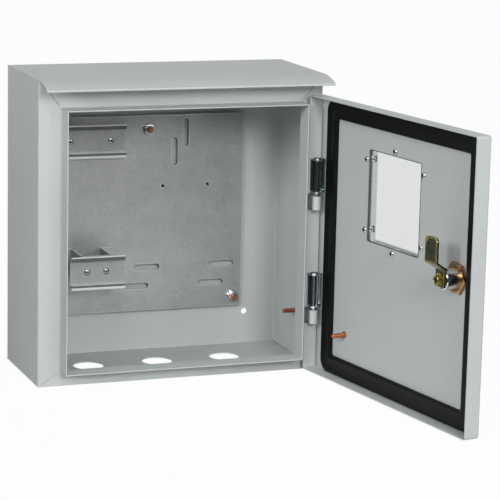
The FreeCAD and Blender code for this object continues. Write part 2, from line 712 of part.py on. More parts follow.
def body_earth_stud():
    """Copper stud welded to the inside of the right side."""
    wall = "half_width - sheet"
    pin = rod("body_earth_pin", "earth_dia / 2", "earth_length", (f"{wall} - earth_length", "body_earth_y", "earth_z"), "x")
    collar = rod("body_earth_collar", "earth_collar_dia / 2", "earth_collar",
                 (f"{wall} - earth_collar", "body_earth_y", "earth_z"), "x")
    keep(join("body_earth", pin, collar), "body_earth_stud")


# Hinges: sleeves on the body, brackets and pins on the door
HINGES = (("upper", "hinge_top_z"), ("lower", "hinge_top_z - hinge_pitch"))


def hinge_sleeve(name, top):
    """Sleeve on a leg that is welded to the front flange."""
    low = f"{top} - sleeve_length"
    tube = rod(name + "_tube", "sleeve_dia / 2", "sleeve_length", ("hinge_x", "hinge_y", low), "z")
    leg = block(name + "_leg", ("hinge_x - sleeve_leg / 2", "hinge_y", low), ("hinge_x + sleeve_leg / 2", "flange_front", top))
    bore = rod(name + "_bore", "pin_dia / 2 + fit_gap", "sleeve_length", ("hinge_x", "hinge_y", low), "z")
    keep(cut(name, join(name + "_solid", tube, leg), bore), "hinge_sleeve_" + name)


def hinge_bracket(name, top):
    """Plated angle in the corner of the door, with an ear at each end for the pin."""
    low = f"{top} + run_gap + bush_length"
    high = f"{low} + hinge_length"
    rim_leg = block(name + "_rim_leg", ("rim_in - hinge_sheet", "door_in", low), ("rim_in", "door_in + hinge_reach", high))
    face_leg = block(name + "_face_leg", ("rim_in - hinge_face", "door_in", low), ("rim_in", "door_in + hinge_sheet", high))
    pieces = [rim_leg, face_leg]
    bores = []
    for title, start in ((name + "_low", low), (name + "_high", f"{high} - hinge_sheet")):
        end = f"{start} + hinge_sheet"
        pieces.append(block(title + "_ear", ("0", "0 - ear_round", start), ("rim_in", "ear_round", end)))
        pieces.append(rod(title + "_nose", "ear_round", "hinge_sheet", ("0", "0", start), "z"))
        bores.append(rod(title + "_bore", "pin_dia / 2 + fit_gap", "hinge_sheet", ("0", "0", start), "z"))
    keep(cut(name + "_bracket", join(name + "_fold", *pieces), *bores), "hinge_bracket_" + name, "door")


def hinge_pin(name, top):
    """Headed pin through both ears and the sleeve."""
    ear_top = f"{top} + run_gap + bush_length + hinge_length"
    tail = f"{top} - sleeve_length - pin_tail"
    body = new_body("pin_" + name)
    profile = sketch_on(body, "XZ")
    outline(profile, [("0", tail), ("pin_dia / 2 - edge_round", tail), ("pin_dia / 2", f"{tail} + edge_round"),
                      ("pin_dia / 2", ear_top), ("pin_head_dia / 2", ear_top),
                      ("pin_head_dia / 2", f"{ear_top} + pin_head - edge_round"),
                      ("pin_head_dia / 2 - edge_round", f"{ear_top} + pin_head"), ("0", f"{ear_top} + pin_head")])
    turn(body, profile)
    keep(body, "hinge_pin_" + name, "door")


def hinge_ring(name, top):
    """Thrust ring on the pin between the sleeve and the lower ear."""
    low = f"{top} + run_gap"
    solid = rod(name + "_ring", "bush_dia / 2", "bush_length", ("0", "0", low), "z")
    bore = rod(name + "_ring_bore", "pin_dia / 2 + fit_gap", "bush_length", ("0", "0", low), "z")
    keep(cut(name + "_thrust", solid, bore), "hinge_ring_" + name, "door")


# Door
def screw_places():
    """Window screws: two at each side, one above and one below."""
    half, row = "screw_span / 2", "screw_row / 2"
    places = [("", f"{end} {half}") for end in ("-", "+")]
    places += [(f"{side} {half}", f"{end} {row}") for side in ("-", "+") for end in ("-", "+")]
    return [(f"window_cx {x}", f"window_z {z}") for x, z in places]


def square_on_window(sketch, size):
    """A square of a sketch, centred on the window."""
    rectangle(sketch, f"window_cx - ({size}) / 2", f"window_z - ({size}) / 2",
              f"window_cx + ({size}) / 2", f"window_z + ({size}) / 2")


def window_corners(size):
    return [(f"window_cx {a} ({size}) / 2", f"window_z {b} ({size}) / 2") for a in "-+" for b in "-+"]


def door_panel():
    """Door pan: one sheet with a rim folded all round, notched for the hinge sleeves."""
    body = new_body("door")
    face = sketch_on(body, "XZ", lift="0 - door_out")
    rectangle(face, "door_free", "door_low", "hinge_edge", "door_high")
    pan = pad(body, face, "door_depth", back=True)
    corners = [(x, z) for x in ("door_free", "hinge_edge") for z in ("door_low", "door_high")]
    pan = soften(body, pan, straight_edges(pan.Shape, "y", corners), "door_corner")
    front = [number for number, edge in enumerate(pan.Shape.Edges, start=1)
             if all(abs(vertex.Point.y - value("door_out")) < SAME for vertex in edge.Vertexes)]
    soften(body, pan, [f"Edge{number}" for number in front], "bend_outside")
    hollow = sketch_on(body, "XZ", lift="0 - door_rear")
    rectangle(hollow, "door_free + sheet", "door_low + sheet", "rim_in", "door_high - sheet")
    pocket(body, hollow, "door_depth - sheet", back=True)
    openings = sketch_on(body, "XZ", lift="0 - door_out + sheet")
    square_on_window(openings, "window_size")
    ring(openings, "lock_cx", "lock_z", "lock_dia / 2 + fit_gap")
    for x, z in screw_places():
        ring(openings, x, z, "screw_dia / 2 + fit_gap")
    pocket(body, openings, "3 * sheet")
    notches = sketch_on(body, "XZ", lift="0 - door_rear + notch_depth")
    for name, top in HINGES:
        rectangle(notches, "rim_in - sheet", f"{top} - sleeve_length - notch_margin", "hinge_edge + sheet",
                  f"{top} + notch_margin")
    cut_out = pocket(body, notches, "notch_depth + sheet")
    soften(body, cut_out, straight_edges(cut_out.Shape, "y", window_corners("window_size")), "window_corner")
    keep(body, "door_panel", "door")


def door_gasket():
    """Sealing strip on the inside of the door, which meets the lip."""
    body = new_body("gasket")
    inner = ("gasket_left + gasket_width", "gasket_low + gasket_width", "gasket_right - gasket_width",
             "gasket_up - gasket_width")
    base = sketch_on(body, "XZ", lift="0 - door_in")
    rectangle(base, "gasket_left", "gasket_low", "gasket_right", "gasket_up")
    strip = pad(body, base, "gasket_high", back=True)
    corners = [(x, z) for x in ("gasket_left", "gasket_right") for z in ("gasket_low", "gasket_up")]
    strip = soften(body, strip, straight_edges(strip.Shape, "y", corners), "gasket_corner")
    middle = sketch_on(body, "XZ", lift="0 - door_in")
    rectangle(middle, *inner)
    strip = pocket(body, middle, "gasket_high")
    top = [number for number, edge in enumerate(strip.Shape.Edges, start=1)
           if all(abs(vertex.Point.y - value("door_in + gasket_high")) < SAME for vertex in edge.Vertexes)]
    soften(body, strip, [f"Edge{number}" for number in top], "gasket_crown")
    keep(body, "door_gasket", "door")


def window_pane():
    """Clear moulded tray on the outside of the door, with a boss for each screw."""
    body = new_body("pane")
    brim = sketch_on(body, "XZ", lift="0 - pane_seat")
    square_on_window(brim, "pane_brim")
    tray = pad(body, brim, "pane_brim_thick")
    tray = soften(body, tray, straight_edges(tray.Shape, "y", window_corners("pane_brim")), "pane_corner")
    crown = sketch_on(body, "XZ", lift="0 - pane_brim_out")
    square_on_window(crown, "pane_crown")
    tray = pad(body, crown, "pane_brim_out - pane_outside")
    tray = soften(body, tray, straight_edges(tray.Shape, "y", window_corners("pane_crown")), "pane_corner")
    front = [number for number, edge in enumerate(tray.Shape.Edges, start=1)
             if all(abs(vertex.Point.y - value("pane_outside")) < SAME for vertex in edge.Vertexes)]
    soften(body, tray, [f"Edge{number}" for number in front], "pane_wall / 2")
    bosses = sketch_on(body, "XZ", lift="0 - pane_brim_out")
    for x, z in screw_places():
        ring(bosses, x, z, "boss_dia / 2")
    pad(body, bosses, "boss_height")
    hollow = sketch_on(body, "XZ", lift="0 - pane_seat")
    square_on_window(hollow, "window_size")
    pocket(body, hollow, "pane_seat - pane_inside", back=True)
    bores = sketch_on(body, "XZ", lift="0 - pane_seat")
    for x, z in screw_places():
        ring(bores, x, z, "screw_dia / 2 + fit_gap")
    pocket(body, bores, "pane_brim_thick + screw_bite + fit_gap", back=True)
    keep(body, "window_pane", "door")


def window_seal():
    """Flat seal between the door and the brim of the window tray."""
    body = new_body("seal")
    base = sketch_on(body, "XZ", lift="0 - door_out")
    square_on_window(base, "pane_brim")
    square_on_window(base, "window_size")
    for x, z in screw_places():
        ring(base, x, z, "screw_dia / 2 + fit_gap")
    pad(body, base, "seal_thick")
    keep(body, "window_seal", "door")


def window_screws():
    """Pan-head screws, from inside the door into the tray's bosses."""
    pieces = []
    length = "door_in + screw_head - (pane_brim_out - screw_bite)"
    for number, (x, z) in enumerate(screw_places()):
        title = f"window_screw_{number}"
        head = rod(title + "_head", "screw_head_dia / 2", "screw_head", (x, "door_in", z), "y")
        shank = rod(title + "_shank", "screw_dia / 2", length, (x, "pane_brim_out - screw_bite", z), "y")
        pieces.append(join(title, head, shank))
    keep(group("window_screw_set", pieces), "window_screws", "door")


def door_earth_stud():
    """Copper stud welded to the inside of the door."""
    foot = ("earth_door_cx", "door_in", "earth_z")
    pin = rod("door_earth_pin", "earth_dia / 2", "earth_length", foot, "y")
    collar = rod("door_earth_collar", "earth_collar_dia / 2", "earth_collar", foot, "y")
    keep(join("door_earth", pin, collar), "door_earth_stud", "door")


# Cam lock
def lock_housing():
    """Round head outside the door and a barrel through it, bored for the plug."""
    body = new_body("lock_case")
    profile = sketch_on(body, "XY", lift="lock_z", side="lock_cx")
    bore, shell, head = "plug_dia / 2 + fit_gap", "lock_dia / 2", "lock_head_dia / 2"
    outline(profile, [(bore, "door_out - lock_head"), (f"{head} - bend_inside", "door_out - lock_head"),
                      (head, "door_out - lock_head + bend_inside"), (head, "door_out"), (shell, "door_out"),
                      (shell, "lock_end - edge_round"), (f"{shell} - edge_round", "lock_end"), (bore, "lock_end")])
    turn(body, profile)
    keep(body, "lock_housing", "door")


def lock_nut():
    """Thin hexagon nut that clamps the lock to the door."""
    solid = hexagon("lock_nut_solid", "lock_nut_flats", "lock_nut", ("lock_cx", "door_in", "lock_z"), "lock_nut_turn_deg")
    bore = rod("lock_nut_bore", "lock_dia / 2 + fit_gap", "lock_nut", ("lock_cx", "door_in", "lock_z"), "y")
    keep(cut("lock_nut_ring", solid, bore), "lock_nut", "door")


def lock_plug():
    """Plug with a key slot outside and a square tang for the cam inside."""
    start = "door_out - lock_head"
    core = rod("plug_core", "plug_dia / 2", f"plug_end - ({start})", ("lock_cx", start, "lock_z"), "y")
    tang = block("plug_tang", ("lock_cx - plug_tang / 2", "plug_end", "lock_z - plug_tang / 2"),
                 ("lock_cx + plug_tang / 2", "cam_back", "lock_z + plug_tang / 2"))
    slot = block("plug_slot", ("lock_cx - key_slot / 2", start, "lock_z - key_slot_length / 2"),
                 ("lock_cx + key_slot / 2", f"{start} + key_slot_depth", "lock_z + key_slot_length / 2"))
    thread = rod("plug_thread", "cam_screw_dia / 2 + fit_gap", "2 * cam_screw_dia",
                 ("lock_cx", "cam_back - 2 * cam_screw_dia", "lock_z"), "y")
    keep(cut("plug_solid", join("plug_blank", core, tang), slot, thread), "lock_plug", "door")


def lock_cam():
    """Steel strip with a double bend, so that its tip catches behind the front flange."""
    body = new_body("cam")
    profile = sketch_on(body, "YZ", lift="lock_cx - cam_wide / 2", up="lock_z")
    near, far = "plug_end", "cam_back"
    outline(profile, [(near, "0 - cam_tail"), (far, "0 - cam_tail"), (far, "cam_bend_low"),
                      (f"{far} + cam_step", "cam_bend_high"), (f"{far} + cam_step", "cam_length"),
                      (f"{near} + cam_step", "cam_length"),
                      (f"{near} + cam_step", "cam_bend_high + cam_thick / 2"), (near, "cam_bend_low + cam_thick / 2")])
    strip = pad(body, profile, "cam_wide")
    tip = [(f"lock_cx {side} cam_wide / 2", "lock_z + cam_length") for side in "-+"]
    soften(body, strip, straight_edges(strip.Shape, "y", tip), "cam_wide / 4")
    shoulders = sketch_on(body, "XZ", lift="0 - plug_end + cam_thick", up="lock_z", side="lock_cx")
    for side in ("", "0 - "):
        rectangle(shoulders, side + "cam_narrow / 2", "0 - 2 * cam_tail", side + "cam_wide", "cam_bend_low")
    pocket(body, shoulders, "3 * cam_thick")
    tang = sketch_on(body, "XZ", lift="0 - plug_end + cam_thick", up="lock_z", side="lock_cx")
    half = "plug_tang / 2 + fit_gap"
    rectangle(tang, f"0 - ({half})", f"0 - ({half})", half, half)
    pocket(body, tang, "3 * cam_thick")
    keep(body, "lock_cam", "door")


def cam_fixing():
    """Screw and washer that hold the cam on its tang."""
    place = ("lock_cx", "cam_back", "lock_z")
    disc = rod("cam_disc", "cam_washer_dia / 2", "cam_washer", place, "y")
    bore = rod("cam_disc_bore", "cam_screw_dia / 2 + fit_gap", "cam_washer", place, "y")
    keep(cut("cam_disc_ring", disc, bore), "cam_washer", "door")
    head = hexagon("cam_screw_hex", "cam_screw_flats", "cam_screw_head", ("lock_cx", "cam_back + cam_washer", "lock_z"))
    shank = rod("cam_screw_shank", "cam_screw_dia / 2", "2 * cam_screw_dia - edge_round + cam_washer + cam_screw_head / 2",
                ("lock_cx", "cam_back - 2 * cam_screw_dia + edge_round", "lock_z"), "y")
    keep(join("cam_screw_solid", head, shank), "cam_screw", "door")


back_and_sides()
front_strip("front_header", "lip_top_out", "lip_top_in", "roof_under", "half_height")
front_strip("front_sill", "lip_low_out", "lip_low_in", "floor_top", "0 - half_height")
roof()
floor()
plate_fixings()
mounting_plate()
rail("upper_rail", "upper_rail_length", "upper_rail_x", "upper_rail_z", "upper_rail_web", "upper_rivet_span")
rivets("upper_rail_rivets", "upper_rail_x", "upper_rail_z", "upper_rail_web", "upper_rivet_span",
       "(rail_thick + plate_thick)")
rail_bracket()
rail("lower_rail", "lower_rail_length", "lower_rail_x", "lower_rail_z", "lower_rail_web", "lower_rivet_span")
rivets("lower_rail_rivets", "lower_rail_x", "lower_rail_z", "lower_rail_web", "lower_rivet_span",
       "(rail_thick + bracket_sheet)")
body_earth_stud()
for hinge, sleeve_top in HINGES:
    hinge_sleeve(hinge, sleeve_top)
    hinge_bracket(hinge, sleeve_top)
    hinge_pin(hinge, sleeve_top)
    hinge_ring(hinge, sleeve_top)
door_panel()
door_gasket()
window_pane()
window_seal()
window_screws()
door_earth_stud()
lock_housing()
lock_nut()
lock_plug()
lock_cam()
cam_fixing()
doc.recompute()

for thing in doc.Objects:
    if "Invalid" in thing.State or "Error" in thing.State:
        raise ValueError(f"{thing.Name} did not rebuild: {thing.State}")
for thing in nodes:
    if thing.Shape.isNull() or not thing.Shape.isValid():
        raise ValueError(f"{thing.Label} has no valid shape")

os.makedirs("parts", exist_ok=True)
for thing in nodes:
    thing.Shape.exportStep(f"parts/{thing.Label}.step")
    print(thing.Label, len(thing.Shape.Solids), round(thing.Shape.Volume, 1))
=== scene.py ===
# %% [markdown]
# # A steel meter box, dressed for its picture
# The box is folded from thin sheet, welded, and sprayed with a light grey powder coat. The solids
# come in ready made, so this lesson only gives them their finish and adds the small things that a
# sheet-metal drawing leaves out: threads, screw recesses, toothed washers, weld beads and the
# crowned foam gasket. Everything is in metres, in the frame of the solids.

# %% Load the solids
import json
import math
import bmesh
import bpy
from mathutils import Matrix, Vector

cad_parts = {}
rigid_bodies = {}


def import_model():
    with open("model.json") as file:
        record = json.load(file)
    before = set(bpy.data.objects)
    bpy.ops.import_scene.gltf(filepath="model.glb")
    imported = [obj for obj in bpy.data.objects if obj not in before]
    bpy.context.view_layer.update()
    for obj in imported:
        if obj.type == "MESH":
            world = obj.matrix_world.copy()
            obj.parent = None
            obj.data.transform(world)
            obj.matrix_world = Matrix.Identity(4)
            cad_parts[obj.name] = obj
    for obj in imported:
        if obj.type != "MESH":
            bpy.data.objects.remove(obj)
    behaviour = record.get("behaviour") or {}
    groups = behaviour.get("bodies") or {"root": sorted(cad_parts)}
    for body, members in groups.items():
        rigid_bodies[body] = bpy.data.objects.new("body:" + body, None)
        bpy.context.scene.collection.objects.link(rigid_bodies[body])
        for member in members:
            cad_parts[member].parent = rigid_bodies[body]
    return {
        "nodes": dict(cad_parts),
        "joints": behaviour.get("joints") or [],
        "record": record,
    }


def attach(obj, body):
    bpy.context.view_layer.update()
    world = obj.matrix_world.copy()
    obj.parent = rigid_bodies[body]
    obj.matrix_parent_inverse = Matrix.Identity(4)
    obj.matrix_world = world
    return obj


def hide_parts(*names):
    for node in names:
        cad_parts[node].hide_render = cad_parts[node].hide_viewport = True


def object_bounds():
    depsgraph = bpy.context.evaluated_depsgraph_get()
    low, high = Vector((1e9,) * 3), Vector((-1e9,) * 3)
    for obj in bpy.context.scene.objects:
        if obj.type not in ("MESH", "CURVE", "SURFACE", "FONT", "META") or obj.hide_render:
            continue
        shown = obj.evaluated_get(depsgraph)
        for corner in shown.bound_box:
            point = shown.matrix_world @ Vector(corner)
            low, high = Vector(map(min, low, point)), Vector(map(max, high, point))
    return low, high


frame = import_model()
nodes = frame["nodes"]
solid_box = [list(corner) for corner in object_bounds()]
print("solids:", len(nodes), "box:", [[round(v, 4) for v in corner] for corner in solid_box])

# %% [markdown]
# ## Camera
# The picture was taken from the left, a little above the roof, from far enough away that upright
# edges stay nearly parallel. A long lens two metres out gives the same slight perspective. The
# camera's axes are written as a turn, a tilt and a small roll, as on a tripod head.

# %% Place the camera
CAMERA_PLACE = Vector((-0.7336, -2.2720, 0.4436))
CAMERA_TURN, CAMERA_TILT, CAMERA_ROLL = (math.radians(angle) for angle in (20.59, 11.54, 1.33))
LENS_MM, SENSOR_MM, FAR_CLIP = 164.75, 36.0, 50.0


def sight(turn, tilt):
    """The direction of a look that is turned right of straight ahead and tilted down."""
    level = math.cos(tilt)
    return Vector((math.sin(turn) * level, math.cos(turn) * level, -math.sin(tilt)))


def camera_axes(turn, tilt, roll):
    """Right, up and backward directions of a camera on a tripod."""
    ahead = sight(turn, tilt)
    level = Vector((math.cos(turn), -math.sin(turn), 0.0))
    upright = level.cross(ahead)
    right = math.cos(roll) * level + math.sin(roll) * upright
    up = math.cos(roll) * upright - math.sin(roll) * level
    return right, up, -ahead


def add_object(name, data):
    """A new object with this data, linked to the scene."""
    added = bpy.data.objects.new(name, data)
    bpy.context.scene.collection.objects.link(added)
    return added


camera = add_object("camera", bpy.data.cameras.new("camera"))
turned = Matrix(camera_axes(CAMERA_TURN, CAMERA_TILT, CAMERA_ROLL)).transposed()
camera.matrix_world = Matrix.Translation(CAMERA_PLACE) @ turned.to_4x4()
camera.data.lens = LENS_MM
camera.data.sensor_width = SENSOR_MM
camera.data.clip_end = FAR_CLIP
bpy.context.scene.camera = camera
print("camera at", [round(v, 3) for v in camera.location])

# %% [markdown]
# ## Studio
# A plain white sweep and large soft lamps. The world is white to the camera and to reflections, and
# dimmer as a light, so that the paint keeps its own grey. The floor is a pale matt sheet that is
# lifted to white for the camera, yet still takes the shadow of the box.


# %% Light the studio
def node_tree(owner):
    """A cleared node tree of a material or world."""
    owner.use_nodes = True
    owner.node_tree.nodes.clear()
    return owner.node_tree


def add_node(tree, kind, **inputs):
    """A shader node, with values set on its sockets by name."""
    node = tree.nodes.new("ShaderNode" + kind)
    for name, value in inputs.items():
        node.inputs[name.replace("_", " ")].default_value = value
    return node


def white_to_the_eye(tree):
    """A mask that is 1 for rays of the camera, of reflections and through glass."""
    path = add_node(tree, "LightPath")
    seen = path.outputs["Is Camera Ray"]
    for name in ("Is Glossy Ray", "Is Transmission Ray"):
        either = add_node(tree, "Math")
        either.operation = "MAXIMUM"
        tree.links.new(seen, either.inputs[0])
        tree.links.new(path.outputs[name], either.inputs[1])
        seen = either.outputs["Value"]
    return seen


def two_looks(tree, mask, unseen, seen):
    """A shader that is the second look where the mask is 1, and else the first."""
    choose = add_node(tree, "MixShader")
    tree.links.new(mask, choose.inputs["Fac"])
    tree.links.new(unseen.outputs[0], choose.inputs[1])
    tree.links.new(seen.outputs[0], choose.inputs[2])
    return choose.outputs[0]


WHITE = (1.0, 1.0, 1.0, 1.0)
WORLD_LIGHT = 0.05
world = bpy.data.worlds.new("studio")
bpy.context.scene.world = world
tree = node_tree(world)
sky = add_node(tree, "Background", Color=WHITE, Strength=1.0)
fill = add_node(tree, "Background", Color=WHITE, Strength=WORLD_LIGHT)
looks = two_looks(tree, white_to_the_eye(tree), fill, sky)
tree.links.new(looks, add_node(tree, "OutputWorld").inputs["Surface"])


def soft_lamp(name, turn, tilt, watts):
    """A square lamp that faces the box from an angle left of the front and above the floor."""
    away = -sight(math.radians(turn), math.radians(tilt))
    lamp = add_object(name, bpy.data.lights.new(name, "AREA"))
    lamp.data.shape = "SQUARE"
    lamp.data.size = LAMP_SIZE
    lamp.data.energy = watts
    lamp.location = LAMP_TARGET + LAMP_DISTANCE * away
    lamp.rotation_euler = away.to_track_quat("Z", "Y").to_euler()
    return lamp


LAMP_TARGET = Vector((0.0, -0.1, 0.0))
LAMP_DISTANCE, LAMP_SIZE = 4.5, 1.0
lamps = [
    soft_lamp("front_lamp", turn=0.0, tilt=20.0, watts=76.0),
    soft_lamp("right_lamp", turn=-25.0, tilt=12.0, watts=26.0),
    soft_lamp("key_lamp", turn=20.0, tilt=37.0, watts=27.0),
    soft_lamp("side_lamp", turn=40.0, tilt=20.0, watts=38.0),
    soft_lamp("left_lamp", turn=62.0, tilt=20.0, watts=56.0),
    soft_lamp("top_lamp", turn=0.0, tilt=80.0, watts=28.0),
]
bpy.context.scene.view_settings.view_transform = "Standard"
print("lamps:", [lamp.name for lamp in lamps])


# %% Lay the floor
def stage_piece(bm, name, material):
    """Makes a shape an object with one material, for the studio and not the box."""
    mesh = bpy.data.meshes.new(name)
    bm.to_mesh(mesh)
    bm.free()
    mesh.materials.append(material)
    piece = add_object(name, mesh)
    return piece


FLOOR_GAP, FLOOR_HALF_SIZE, FLOOR_BACK = 0.0003, 6.0, 2.0
FLOOR_LEVEL = solid_box[0][2] - FLOOR_GAP
FLOOR_GREY, FLOOR_WHITE = (0.65, 0.65, 0.65, 1.0), 0.97
floor_paper = bpy.data.materials.new("floor_paper")
tree = node_tree(floor_paper)
matt = add_node(tree, "BsdfDiffuse", Color=FLOOR_GREY)
glow = add_node(tree, "Emission", Color=WHITE, Strength=1.0)
lift = add_node(tree, "Math")
lift.operation = "MULTIPLY"
lift.inputs[1].default_value = FLOOR_WHITE
tree.links.new(white_to_the_eye(tree), lift.inputs[0])
looks = two_looks(tree, lift.outputs[0], matt, glow)
tree.links.new(looks, add_node(tree, "OutputMaterial").inputs["Surface"])
bm = bmesh.new()
bmesh.ops.create_grid(bm, x_segments=1, y_segments=1, size=FLOOR_HALF_SIZE)
bmesh.ops.translate(bm, vec=(0.0, FLOOR_BACK, FLOOR_LEVEL), verts=bm.verts)
stage_piece(bm, "floor", floor_paper)
print("floor at", round(FLOOR_LEVEL, 4))

# %% [markdown]
# Bare metal in an all-white room looks like paper. A photographer hangs a dark cloth round the
# camera, out of the picture, so that pins, screws and the lock have something dark to mirror. The
# cloth lies on the floor in front and rises behind the lamps, a bent line swept about the box, and
# only mirror reflections can see it. A flag on the left keeps part of the left lamp off the side
# of the box, which would otherwise be as bright as the door.


# %% Hang a dark cloth for the metals
def sweep(bm, points, turn, steps, closed=False):
    """Joins points by edges and spins that line round the upright axis."""
    corners = [bm.verts.new(point) for point in points]
    ends = corners[1:] + corners[:1] if closed else corners[1:]
    edges = [bm.edges.new(pair) for pair in zip(corners, ends)]
    bmesh.ops.spin(bm, geom=corners + edges, cent=MIDDLE, axis=UPRIGHT, dvec=MIDDLE,
                   angle=turn, steps=steps, use_merge=turn == math.tau,
                   use_normal_flip=False, use_duplicate=False)


MIDDLE, UPRIGHT = (0.0, 0.0, 0.0), (0.0, 0.0, 1.0)
CLOTH_NEAR, CLOTH_REACH, CLOTH_HIGH, CLOTH_LIFT = 0.6, 6.0, 2.4, 0.002
CLOTH_LEVEL = FLOOR_LEVEL + CLOTH_LIFT
CLOTH_START, CLOTH_SWEEP, CLOTH_PANELS = math.radians(80.0), math.radians(160.0), 32
CLOTH_DARK = (0.04, 0.04, 0.04, 1.0)
cloth_dye = bpy.data.materials.new("cloth_dye")
tree = node_tree(cloth_dye)
dim = add_node(tree, "Emission", Color=CLOTH_DARK, Strength=1.0)
tree.links.new(dim.outputs[0], add_node(tree, "OutputMaterial").inputs["Surface"])
hem = [(CLOTH_NEAR, CLOTH_LEVEL), (CLOTH_REACH, CLOTH_LEVEL), (CLOTH_REACH, CLOTH_HIGH)]
bm = bmesh.new()
sweep(bm, [(0.0, -reach, height) for reach, height in hem], CLOTH_SWEEP, CLOTH_PANELS)
to_start = Matrix.Rotation(-CLOTH_START, 3, "Z")
bmesh.ops.rotate(bm, cent=MIDDLE, matrix=to_start, verts=bm.verts)
cloth = stage_piece(bm, "dark_cloth", cloth_dye)
cloth.visible_camera = cloth.visible_diffuse = False
cloth.visible_transmission = cloth.visible_shadow = False
print("cloth has", len(cloth.data.polygons), "panels")


# %% Stand a flag on the left
def unit_sheet(bm):
    """The corners of a level sheet, one by one, at the middle."""
    return bmesh.ops.create_grid(bm, x_segments=1, y_segments=1, size=0.5)["verts"]


QUARTER = math.radians(90.0)
FLAG_PLACE, FLAG_SIZE = (-1.0, -0.46, 0.18), (0.44, 0.26, 1.0)
bm = bmesh.new()
bmesh.ops.scale(bm, vec=FLAG_SIZE, verts=unit_sheet(bm))
bmesh.ops.rotate(bm, cent=MIDDLE, matrix=Matrix.Rotation(QUARTER, 3, "Y"), verts=bm.verts)
bmesh.ops.translate(bm, vec=FLAG_PLACE, verts=bm.verts)
flag = stage_piece(bm, "left_flag", cloth_dye)
flag.visible_camera = flag.visible_diffuse = False
flag.visible_glossy = flag.visible_transmission = False
print("flag at", FLAG_PLACE)

# %% [markdown]
# ## Shared effects
# Paint, zinc and foam all need a fine grain and a slow change of tone over the surface, and sheet
# zinc has crystals as well. Images would fix the resolution, so noise on object coordinates is used
# instead. Each effect is a node group with its own scales, so that a finish only says how coarse
# it is.


# %% Build the grain group
def new_group(name):
    """A shader group with a place and two scales as inputs, and a grain and a tone as outputs."""
    group = bpy.data.node_groups.new(name, "ShaderNodeTree")
    group.interface.new_socket("Vector", in_out="INPUT", socket_type="NodeSocketVector")
    for socket, way in (("Grain Scale", "INPUT"), ("Tone Scale", "INPUT"),
                        ("Grain", "OUTPUT"), ("Tone", "OUTPUT")):
        group.interface.new_socket(socket, in_out=way, socket_type="NodeSocketFloat")
    return group, group.nodes.new("NodeGroupInput"), group.nodes.new("NodeGroupOutput")


def noise_in(group, place, scale, detail):
    """Noise over a place at a scale."""
    noise = add_node(group, "TexNoise", Detail=detail, Roughness=NOISE_ROUGHNESS)
    group.links.new(place, noise.inputs["Vector"])
    group.links.new(scale, noise.inputs["Scale"])
    return noise.outputs["Fac"]


def mixed(tree, first, second, share):
    """Two values blended by a fixed share of the second."""
    blend = add_node(tree, "Mix", Factor=share)
    tree.links.new(first, blend.inputs["A"])
    tree.links.new(second, blend.inputs["B"])
    return blend.outputs["Result"]


NOISE_ROUGHNESS = 0.6
FINE_DETAIL, TONE_DETAIL, CLOUD_DETAIL = 2.0, 4.0, 8.0
GRAIN_SHARE = 0.35
grain_group, start, end = new_group("fine_grain")
place, fine, slow = (start.outputs[name] for name in ("Vector", "Grain Scale", "Tone Scale"))
grain = noise_in(grain_group, place, fine, FINE_DETAIL)
cloudy = noise_in(grain_group, place, slow, TONE_DETAIL)
grain_group.links.new(grain, end.inputs["Grain"])
grain_group.links.new(mixed(grain_group, cloudy, grain, GRAIN_SHARE), end.inputs["Tone"])
print("group:", grain_group.name)

# %% Build the crystal group
STREAK_STRETCH = (0.05, 1.0, 1.0)
FLAKE_SHARE, SPECKLE_SHARE = 0.7, 0.55
crystal_group, start, end = new_group("zinc_crystals")
place, fine, slow = (start.outputs[name] for name in ("Vector", "Grain Scale", "Tone Scale"))
flakes = add_node(crystal_group, "TexVoronoi")
crystal_group.links.new(place, flakes.inputs["Vector"])
crystal_group.links.new(fine, flakes.inputs["Scale"])
flake = add_node(crystal_group, "RGBToBW")
crystal_group.links.new(flakes.outputs["Color"], flake.inputs["Color"])
crystal_group.links.new(flake.outputs["Val"], end.inputs["Grain"])
cloudy = noise_in(crystal_group, place, slow, CLOUD_DETAIL)
along = add_node(crystal_group, "VectorMath")
along.operation = "MULTIPLY"
along.inputs[1].default_value = STREAK_STRETCH
crystal_group.links.new(place, along.inputs[0])
streak = noise_in(crystal_group, along.outputs["Vector"], fine, FINE_DETAIL)
speckle = mixed(crystal_group, streak, flake.outputs["Val"], FLAKE_SHARE)
crystal_group.links.new(mixed(crystal_group, cloudy, speckle, SPECKLE_SHARE), end.inputs["Tone"])
print("group:", crystal_group.name)

# %% [markdown]
# ## Finishes
# Each finish is one Principled shader. Its colour runs between tones picked by the group's slow
# noise, its roughness follows the grain a little, and a bump carries the grain as relief. A finish
# with an edge tone shows that tone on the faces that a piece marks as edges, as worn or bevelled
# metal does, and a cut tone does the same for a second mark, as on sheared faces. Some pieces use
# the same two marks for painted light: painted highlights, painted shade and painted reflections,
# which are named where they are marked. Numbers that do not change over the surface are set on
# the shader itself.


# %% Write the recipe for a finish
def tone_ramp(tree, tones):
    """A colour ramp with the tones at even steps."""
    colours = add_node(tree, "ValToRGB")
    ramp = colours.color_ramp.elements
    ramp[0].position, ramp[1].position = TONE_START, TONE_END
    for stop, tone in zip(ramp, (tones[0], tones[-1])):
        stop.color = (*tone, 1.0)
    for step, tone in enumerate(tones[1:-1], start=1):
        share = step / (len(tones) - 1)
        ramp.new(TONE_START + (TONE_END - TONE_START) * share).color = (*tone, 1.0)
    return colours


def shown_on_marks(tree, colour, mark, tone):
    """A colour that turns to the tone on the faces that carry the mark."""
    marked = add_node(tree, "Attribute")
    marked.attribute_name = mark
    worn = add_node(tree, "Mix")
    worn.data_type = "RGBA"
    worn.inputs["B"].default_value = (*tone, 1.0)
    tree.links.new(marked.outputs["Fac"], worn.inputs["Factor"])
    tree.links.new(colour, worn.inputs["A"])
    return worn.outputs["Result"]


